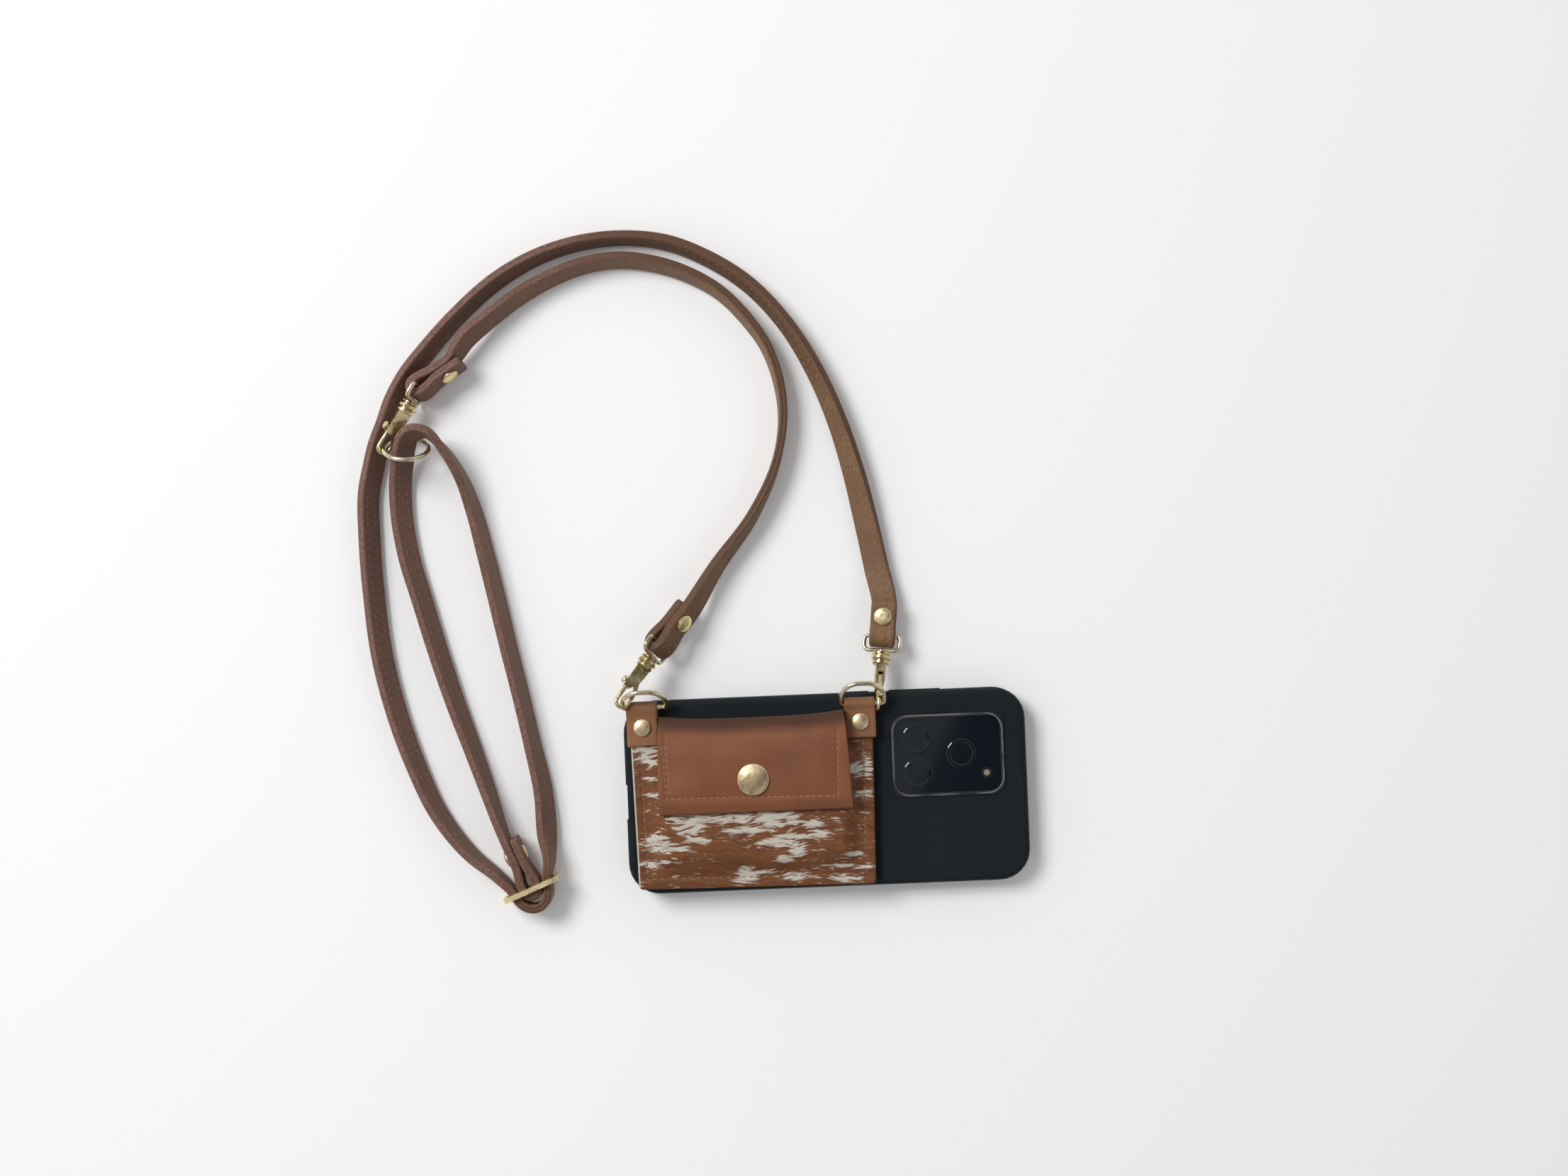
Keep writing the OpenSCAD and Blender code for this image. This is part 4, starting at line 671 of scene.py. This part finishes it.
def hide_finish(name, brown, dark, white):
    """Short hair that lies along the pouch. Streaks, long in X, break the white ovals into flecks and
    strew a few between them; finer streaks shade single hairs and lift them. The left cut shows pale."""
    made, shader, t = finish(name, roughness=0.6, Specular_IOR_Level=0.25)
    where = place_of(t)
    wander = t.node("CombineXYZ", {}, {"Y": (t.noise(where, 45, 2) - 0.5) * 0.009})
    flow = t.node("VectorMath", {"operation": "ADD"}, {0: where, 1: wander})
    fleck = t.noise(t.moved(flow, (130, 820, 200)), 1, 4, 0.6)
    thin = t.noise(t.moved(flow, (260, 2300, 400), (3, 0, 0)), 1, 3, 0.6)
    hair = t.noise(t.moved(flow, (420, 5200, 900)), 1, 3, 0.7)
    lock = t.noise(t.moved(flow, (60, 420, 150), (7, 0, 0)), 1, 3, 0.6)
    common = t.node("Attribute", {"attribute_name": "white_hair"}, out=2)
    pale = (common * 0.92 + (fleck - 0.5) * 3.0 + (thin - 0.5) * 2.0).over(0.36, 0.78)
    coat = (0.5 * lock + 0.25 * hair + 0.25 * thin).over(0.36, 0.62).mix(dark, brown)
    bright = hair.over(0.25, 0.75).mix([c * 0.7 for c in white], white)
    fringe = pale.mix(coat, bright)
    x, y = (where.part(axis) * 1000 for axis in "XY")
    from_cut = x - (POUCH_LOW[0] + SIDE_LEAN / POUCH_TALL * (POUCH_HIGH[1] - y))
    fringe = (from_cut + (thin - 0.5) * 0.6).over(0.45, 0.8).mix([c * 0.8 for c in white], fringe)
    t.join(shader.inputs["Base Color"], fringe)
    t.join(shader.inputs["Roughness"], 0.5 + 0.2 * hair)
    t.join(shader.inputs["Normal"], bumped(t, hair * 0.5 + thin * 0.4 + pale * 0.15, 0.45, 0.3 * MM))
    return made


def leather_finish(name, face, deep, seed=0, grain_size=1100, darker_where=None):
    """Smooth drummed leather: colour clouded from deep to face, and fine pebbled grain. The seed shifts
    the clouds, and the last argument gives where the colour is painted darker."""
    made, shader, t = finish(name, roughness=0.5, Specular_IOR_Level=0.3)
    where = place_of(t)
    cloud = t.noise(t.moved(where, shift=(seed, 0, 0)), 45, 4, 0.6)
    pebble = t.node("TexVoronoi", {"feature": "DISTANCE_TO_EDGE"}, {"Vector": where, "Scale": grain_size})
    fine = t.noise(where, grain_size * 1.2, 3, 0.6)
    skin = cloud.over(0.3, 0.7).mix(deep, face)
    skin = fine.over(0.2, 0.6).mix([c * 0.84 for c in face], skin)
    # Where the last argument is 1, the colour goes near black. On the flap's fold that is painted shade as
    # well as burnish.
    if darker_where is not None:
        skin = darker_where(t, where).mix(skin, [c * 0.28 for c in deep])
    t.join(shader.inputs["Base Color"], skin)
    t.join(shader.inputs["Roughness"], 0.42 + 0.18 * cloud + 0.1 * fine)
    grain = pebble.over(0.0, 0.3) * 0.5 + fine * 0.5 + cloud * 0.8
    t.join(shader.inputs["Normal"], bumped(t, grain, 0.3, 0.22 * MM))
    return made


hide = hide_finish("hair_on_hide", brown=(0.225, 0.083, 0.027), dark=(0.13, 0.044, 0.018),
                   white=(0.7, 0.65, 0.56))
raw_edge = leather_finish("raw_edge", (0.5, 0.42, 0.33), (0.36, 0.27, 0.2), seed=4, grain_size=2200)
pouch_hide.data.materials.append(hide)
pouch_hide.data.materials.append(raw_edge)
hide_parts("pouch_front")


# Stitches of the pouch
# One row of tan thread runs 4 mm inside the left, lower and right edges, through the hide and the back
# leather. It stops where the tabs begin.
def sewn_row(name, corners, surface, pitch, length, thick, material, body=ROOT):
    """Stitches at one pitch along the corners' line, on the surface given. Each lies along the surface's
    own slope, from a little before it to a little after, and its crown is up from the surface."""
    corners = np.array(corners, float)
    run = run_along(corners)
    s = np.arange(pitch * 0.5, run[-1], pitch)
    at = lambda shift: (np.interp(s + shift, run, corners[:, 0]), np.interp(s + shift, run, corners[:, 1]))
    by = 0.4
    x, y = at(0)
    way = surface(*at(by)) - surface(*at(-by))
    up = np.cross(surface(x + by, y) - surface(x - by, y), surface(x, y + by) - surface(x, y - by))
    way /= np.linalg.norm(way, axis=1)[:, None]
    up -= (up * way).sum(1)[:, None] * way
    up /= np.linalg.norm(up, axis=1)[:, None]
    return stitches(name, (surface(x, y) + 0.1 * up) * MM, way, up, length * MM, thick * MM, material, body)


tan_thread = thread_finish("tan_thread", (0.36, 0.23, 0.13))
row_top = TAB_LINE_Y - 1
hide_row = [(SEAM_X[0], row_top), (SEAM_X[0], SEAM_LOW), (SEAM_X[1], SEAM_LOW), (SEAM_X[1], row_top)]
hide_stitches = sewn_row("hide_stitches", hide_row, hide_top, pitch=3.2, length=2.4, thick=0.24,
                         material=tan_thread)


# Pouch back
# A flat leather under the hide, cut with it and stepped back a little at the card mouth. Foam tape
# holds it to the case.
BACK_Z, POCKET_Z = 13.05, 14.45
MOUTH_STEP = 0.9
quarter = np.linspace(0, np.pi / 2, 8)
(low_x, low_y), (high_x, high_y) = POUCH_LOW + POUCH_CORNER, POUCH_HIGH - POUCH_CORNER
outline = []
for turn, (cx, cy) in enumerate([(high_x, high_y), (low_x, high_y), (low_x, low_y), (high_x, low_y)]):
    a = quarter + turn * np.pi / 2
    outline.append(np.stack([cx + POUCH_CORNER * np.cos(a), cy + POUCH_CORNER * np.sin(a)], -1))
outline = np.vstack(outline)
ahead = np.roll(outline, -1, axis=0)
loop = np.vstack([np.linspace(here, after, 4)[:-1] for here, after in zip(outline, ahead)])
levels = [(0.25, POCKET_Z - 0.02), (0.0, POCKET_Z - 0.3), (0.0, BACK_Z + 0.3), (0.25, BACK_Z)]
middle = (POUCH_LOW + POUCH_HIGH) / 2
rings = []
for inset, z in levels:
    flat = middle + (loop - middle) * (1 - inset / 50)
    u, v = as_cut(flat[:, 0], flat[:, 1])
    v -= MOUTH_STEP * ((v > 29.5) & (u > MOUTH_X[0]) & (u < MOUTH_X[1]))
    rings.append(np.stack([u, v, np.full(len(u), z)], -1))
lining_faces = ring_faces(len(rings), len(loop))
pouch_lining = mesh_piece("pouch_lining", np.vstack(rings) * MM, lining_faces, smooth=False)
lining = leather_finish("lining_leather", (0.2, 0.11, 0.055), (0.13, 0.07, 0.035), seed=7)
pouch_lining.data.materials.append(lining)
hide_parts("pouch_back")
foam = mottled("foam_tape", 1800, (0.42, 0.41, 0.38), (0.55, 0.54, 0.5), roughness=0.8)
dress(foam, "adhesive_pad")


# Flap
# One smooth tan leather. Its tail is sewn to the pouch's back, stands up as the spine, folds over and
# hangs down in front, stitched near its edges. The fold sags between the tabs, and shade with burnish is
# painted dark on it.
HINGE_Y, HINGE_Z, REACH = 30.18, 21.55, 39.25
FLAP_T = 1.5
FLAP_ROWS = {"left": [(-67.7, 25.7), (-66.2, -2.2)], "second": [(-68.8, 20.5), (-67.4, -2.6)],
             "right": [(5.1, 25.4), (4.4, -3.6)], "low": [(-66.2, -2.2), (4.4, -3.6)]}
TAIL = [(24.5, 15.22), (27, 15.22), (28.4, 15.35), (29.3, 16.2), (29.55, 17.5), (29.55, 19.0), (29.5, 20.2),
        (29.1, 21.15), (28.2, 21.7), (26.8, 21.95), (24.6, 22.3), (21.5, 22.95)]
FOLD_Y, FOLD_Z, FOLD_SAG = 28.2, 21.3, 1.75
FLAP_STEP = 0.75


def hanging_line(y):
    """Height of the flap's middle layer over y: an eased rise from the fold and a half as steep fall at
    the free edge, with that edge pressed down a little more."""
    part = (HINGE_Y - y) / REACH
    rise = 2.4 * (eased(part / 0.42) - 0.5 * eased((part - 0.9) / 0.1))
    return HINGE_Z + rise - 0.5 * eased((part - 0.86) / 0.14)


def off_row(x, y, ends):
    """Distance of points from the straight line through a stitch row's ends, kept to the row's length."""
    a, b = np.array(ends[0], float), np.array(ends[1], float)
    length = np.linalg.norm(b - a)
    along = (b - a) / length
    t = np.clip((x - a[0]) * along[0] + (y - a[1]) * along[1], 0, length)
    return np.hypot(x - a[0] - t * along[0], y - a[1] - t * along[1])


def flap_puff(x, y):
    """The leather is fuller inside its stitches, sinks along them, waves a little and dips at its
    edges."""
    inside = eased((x + 66.4) / 7) * eased((4.6 - x) / 7) * eased((y + 3.2) / 7) * eased((27 - y) / 8)
    sink = np.maximum.reduce([np.exp(-(off_row(x, y, ends) / 0.75) ** 2) for ends in FLAP_ROWS.values()])
    waves = 0.12 * np.sin(x * 0.11 + 1.2) * np.cos(y * 0.16)
    edge = np.minimum.reduce([x + 70.6, 9.6 - x, y + 9])
    return 0.55 * inside - 0.28 * sink + waves - 0.2 * np.exp(-(edge / 0.5) ** 2)


# The side view is one line, from the tail over the fold to the free edge. It is carried across on a
# grid: v runs from the left side to the right, and down from 0 at the fold to 1 at the free edge.
front = [(y, float(hanging_line(y))) for y in np.linspace(18, -9, 14)]
path = smooth_line(np.array([(0, *p) for p in TAIL + front]), FLAP_STEP)
row_y, row_z = path[:, 1], path[:, 2]
rows = np.arange(len(path))
fold = int(np.argmin(abs(row_y - FOLD_Y) + 9 * (row_z < FOLD_Z)))
after = np.clip((rows - fold) / (rows[-1] - fold), 0, 1)
cross = np.linspace(-1, 1, 161)
v, down = np.meshgrid(cross, after)
# The spine and the tail are narrower than the front by 0.35 mm on each side.
narrow = np.where(down > 0, 0, 0.35)
wide_low, wide_high = -70.1 - 0.8 * down, 8.6 + 2.1 * down
x = wide_low + narrow + (wide_high - wide_low - 2 * narrow) * (v + 1) / 2
# The fold reaches back further beside the tabs than between them.
fade = np.where(rows > fold, 1 - eased((27.5 - row_y) / 14), 1)
stand = eased((row_z - 15.3) / 2.2) * fade
y = row_y[:, None] + stand[:, None] * FOLD_SAG * abs(v) ** 3.2
front_only = np.clip((27.5 - y) / 5, 0, 1) * (down > 0)
z = row_z[:, None] + front_only * flap_puff(x, y)
spots = np.stack([x, y, z], -1).reshape(-1, 3)
flat_uv = np.stack([down, (v + 1) / 2], -1).reshape(-1, 2)
flap_faces = grid_quads(len(path), len(cross)).reshape(-1, 4)
flap_skin = mesh_piece("flap_leather", spots * MM, flap_faces, flat_uv, body=None)
thicken(flap_skin, FLAP_T * MM, offset=0)


def fold_shade_and_burnish(t, where):
    """Painted shade and burnish, dark on the spine and the fold, fading down the front with a cloudy
    border.
    """
    run = place_of(t, "UV").part("X")
    return 0.92 - 0.92 * (run + (t.noise(where, 70, 3) - 0.5) * 0.05).over(-0.01, 0.17)


# The flap's fold is painted dark, as its shade and burnish.
flap_leather = leather_finish("flap_leather", (0.26, 0.095, 0.041), (0.2, 0.073, 0.032), grain_size=1500,
                              darker_where=fold_shade_and_burnish)
flap_edge = leather_finish("flap_edge", (0.17, 0.08, 0.045), (0.11, 0.05, 0.03), seed=2)
flap_skin.data.materials.append(flap_leather)
flap_skin.data.materials.append(flap_edge)
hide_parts("flap")
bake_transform(flap_skin)


def flap_top(x, y):
    """Points of the flap's upper face over these places."""
    return np.stack([x, y, hanging_line(y) + FLAP_T / 2 + flap_puff(x, y)], -1)


# Its stitches are pinker than the pouch's and half sunk.
flap_thread = thread_finish("flap_thread", (0.5, 0.26, 0.15))
for row, ends in FLAP_ROWS.items():
    piece = sewn_row("flap_stitches_" + row, ends, flap_top, pitch=2.7, length=2.0, thick=0.2,
                     material=flap_thread, body="flap")


# Tabs
# Two short straps in lighter tan. Each is folded round a ring's bar, closes over the edge of the pouch
# and is riveted through its margin.
TAB_HALF_T, TAB_HALF_W, TAB_EASE, TAB_FOLD_R = 0.68, 6.6, 0.4, 2.2
BAR_Z, CASE_BACK_Z = 16.05, 11.65


def folded_tab(name, node, x, bar_y, material):
    """One even band: along the case, up round the bar on a circle and back over the pouch's margin, then
    its width across X with eased edges. Its middle lies half its thickness above what it lies on."""
    lift = TAB_HALF_T + 0.04
    mid_low, mid_top, loop = CASE_BACK_Z + lift, MARGIN_Z + lift, TAB_FOLD_R
    turn = np.linspace(-np.pi / 2 + 0.25, np.pi / 2 - 0.3, 12)
    rows = [(19.2, mid_low), (25, mid_low), (30.6, mid_low), (32.2, mid_low + 0.2)]
    rows += [(bar_y + loop * np.cos(a), BAR_Z + loop * np.sin(a)) for a in turn]
    rows += [(31.9, mid_top + 0.35), (30.2, mid_top + 0.02), (26, mid_top), (19.8, mid_top)]
    path = smooth_line(np.array([(0, *r) for r in rows]), 0.55)
    along = np.gradient(path, axis=0)
    along /= np.linalg.norm(along, axis=1)[:, None]
    out = np.stack([0 * along[:, 0], along[:, 2], -along[:, 1]], -1)
    h, w, r = TAB_HALF_T, TAB_HALF_W, TAB_EASE
    upper = [(w, 0), (w - 0.1, h - r), (w - r, h), (w - 1.4, h), (2, h), (-2, h), (1.4 - w, h), (r - w, h),
             (0.1 - w, h - r)]
    outline = np.array(upper + [(-a, -b) for a, b in upper])
    thin = np.ones((len(path), 1, 1))
    thin[[0, -1]] = 0.82
    spots = path[:, None] + outline[None, :, 1:] * thin * out[:, None]
    spots[..., 0] += x + outline[:, 0]
    piece = mesh_piece(name, spots.reshape(-1, 3) * MM, ring_faces(len(path), len(outline)))
    piece.data.materials.append(material)
    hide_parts(node)


def at_bend(t, where):
    """Darker where the tab turns round its ring."""
    return 0.45 * (where.part("Y") + (t.noise(where, 120, 3) - 0.5) * 0.004).over(0.033, 0.0385)


tab_leather = leather_finish("tab_leather", (0.31, 0.142, 0.066), (0.235, 0.105, 0.048), seed=11,
                             grain_size=1300, darker_where=at_bend)
folded_tab("tab_left_leather", "tab_left", x=-76.99, bar_y=35.83, material=tab_leather)
folded_tab("tab_right_leather", "tab_right", x=15.19, bar_y=33.93, material=tab_leather)


# Metal
# Pale gold plated castings, bent wire and riveted caps. Each is polished but knocked about, so its
# reflections break up over soft dents. The pins and springs inside the hooks are plain steel.
def plated(name, bright, dull, dents, gloss):
    """Plate that hazes from bright to dull and rough in clouds, over dents half a millimetre deep at 1."""
    made, shader, t = finish(name, roughness=gloss, metallic=1.0)
    where = place_of(t)
    knocks = t.noise(where, 420, 2)
    haze = t.noise(where, 150, 4, 0.6)
    scratch = t.noise(where, 2600, 2)
    t.join(shader.inputs["Base Color"], haze.over(0.3, 0.65).mix(dull, bright))
    t.join(shader.inputs["Roughness"], gloss + 0.14 * haze.over(0.4, 0.75) + 0.06 * scratch)
    t.join(shader.inputs["Normal"], bumped(t, knocks, dents, 0.55 * MM))
    return made


gold_plate = plated("gold_plate", (0.86, 0.73, 0.42), (0.50, 0.38, 0.18), dents=0.5, gloss=0.2)
pale_wire = plated("pale_wire", (0.86, 0.77, 0.56), (0.52, 0.43, 0.28), dents=0.25, gloss=0.16)
bare_steel = plated("bare_steel", (0.62, 0.62, 0.60), (0.45, 0.45, 0.44), dents=0.1, gloss=0.3)
rivet_gold = plated("rivet_gold", (0.90, 0.76, 0.42), (0.70, 0.56, 0.28), dents=0.12, gloss=0.28)
slider_gold = plated("slider_gold", (0.98, 0.82, 0.48), (0.80, 0.62, 0.32), dents=0.5, gloss=0.34)
for side in ("left", "right", "upper"):
    dress(gold_plate, "hook_" + side + "_body", "hook_" + side + "_lever")
    dress(rivet_gold, "rivet_" + side)
    dress(pale_wire, "hook_" + side + "_eye")
    dress(bare_steel, "hook_" + side + "_pin", "hook_" + side + "_spring")
dress(rivet_gold, "rivet_slider", "snap_socket", "snap_stud", "snap_post")
dress(pale_wire, "d_ring_left", "d_ring_right", "strap_ring")
dress(slider_gold, "strap_slider")


# Caps
# Spun brass caps in the same gold plate: a low wall, a rolled shoulder and a dome. One is the snap's, on
# the flap, and is left plain. Two smaller ones are the tabs' rivets.
def cap_shape(radius, height, shoulder, sink):
    """Radius and height from the underside of the rim up: foot, quarter round shoulder, then a dome that
    falls with the power 2.2 of the distance from its middle."""
    u = np.linspace(0, np.pi / 2, 6)
    wall = [(radius - 0.5, -sink), (radius - 0.12, -sink), (radius, 0.12)]
    roll = [(radius - shoulder + shoulder * np.cos(a), height * (0.42 + 0.22 * np.sin(a))) for a in u]
    q = np.linspace(1, 0.01, 14)[1:]
    dome = [((radius - shoulder) * k, height * (0.64 + 0.36 * (1 - k ** 2.2))) for k in q]
    return wall + roll + dome


def spun_cap(name, node, radius, height, shoulder, sink, body):
    """The cap's profile turned round a line parallel to Z, with its top level with its node's."""
    low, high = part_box(node)
    foot = np.array([(low[0] + high[0]) / 2, (low[1] + high[1]) / 2, high[2] - height * MM]) / MM
    a = np.linspace(0, 2 * np.pi, 73)[:-1]
    r, z = np.array(cap_shape(radius, height, shoulder, sink), float).T
    spots = foot + np.stack([r[:, None] * np.cos(a), r[:, None] * np.sin(a), z[:, None] + 0 * a], -1)
    piece = mesh_piece(name, spots.reshape(-1, 3) * MM, ring_faces(len(r), len(a)), body=body)
    piece.data.materials.append(cap_gold)
    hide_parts(node)


cap_gold = plated("cap_gold", (0.98, 0.78, 0.50), (0.80, 0.59, 0.33), dents=0.3, gloss=0.27)
spun_cap("snap_cap_dome", "snap_cap", radius=6.65, height=2.2, shoulder=0.7, sink=0.1, body="flap")
for side in ("left", "right"):
    spun_cap("tab_cap_" + side, "tab_rivet_" + side, radius=3.6, height=1.4, shoulder=0.55, sink=0.05,
             body=ROOT)
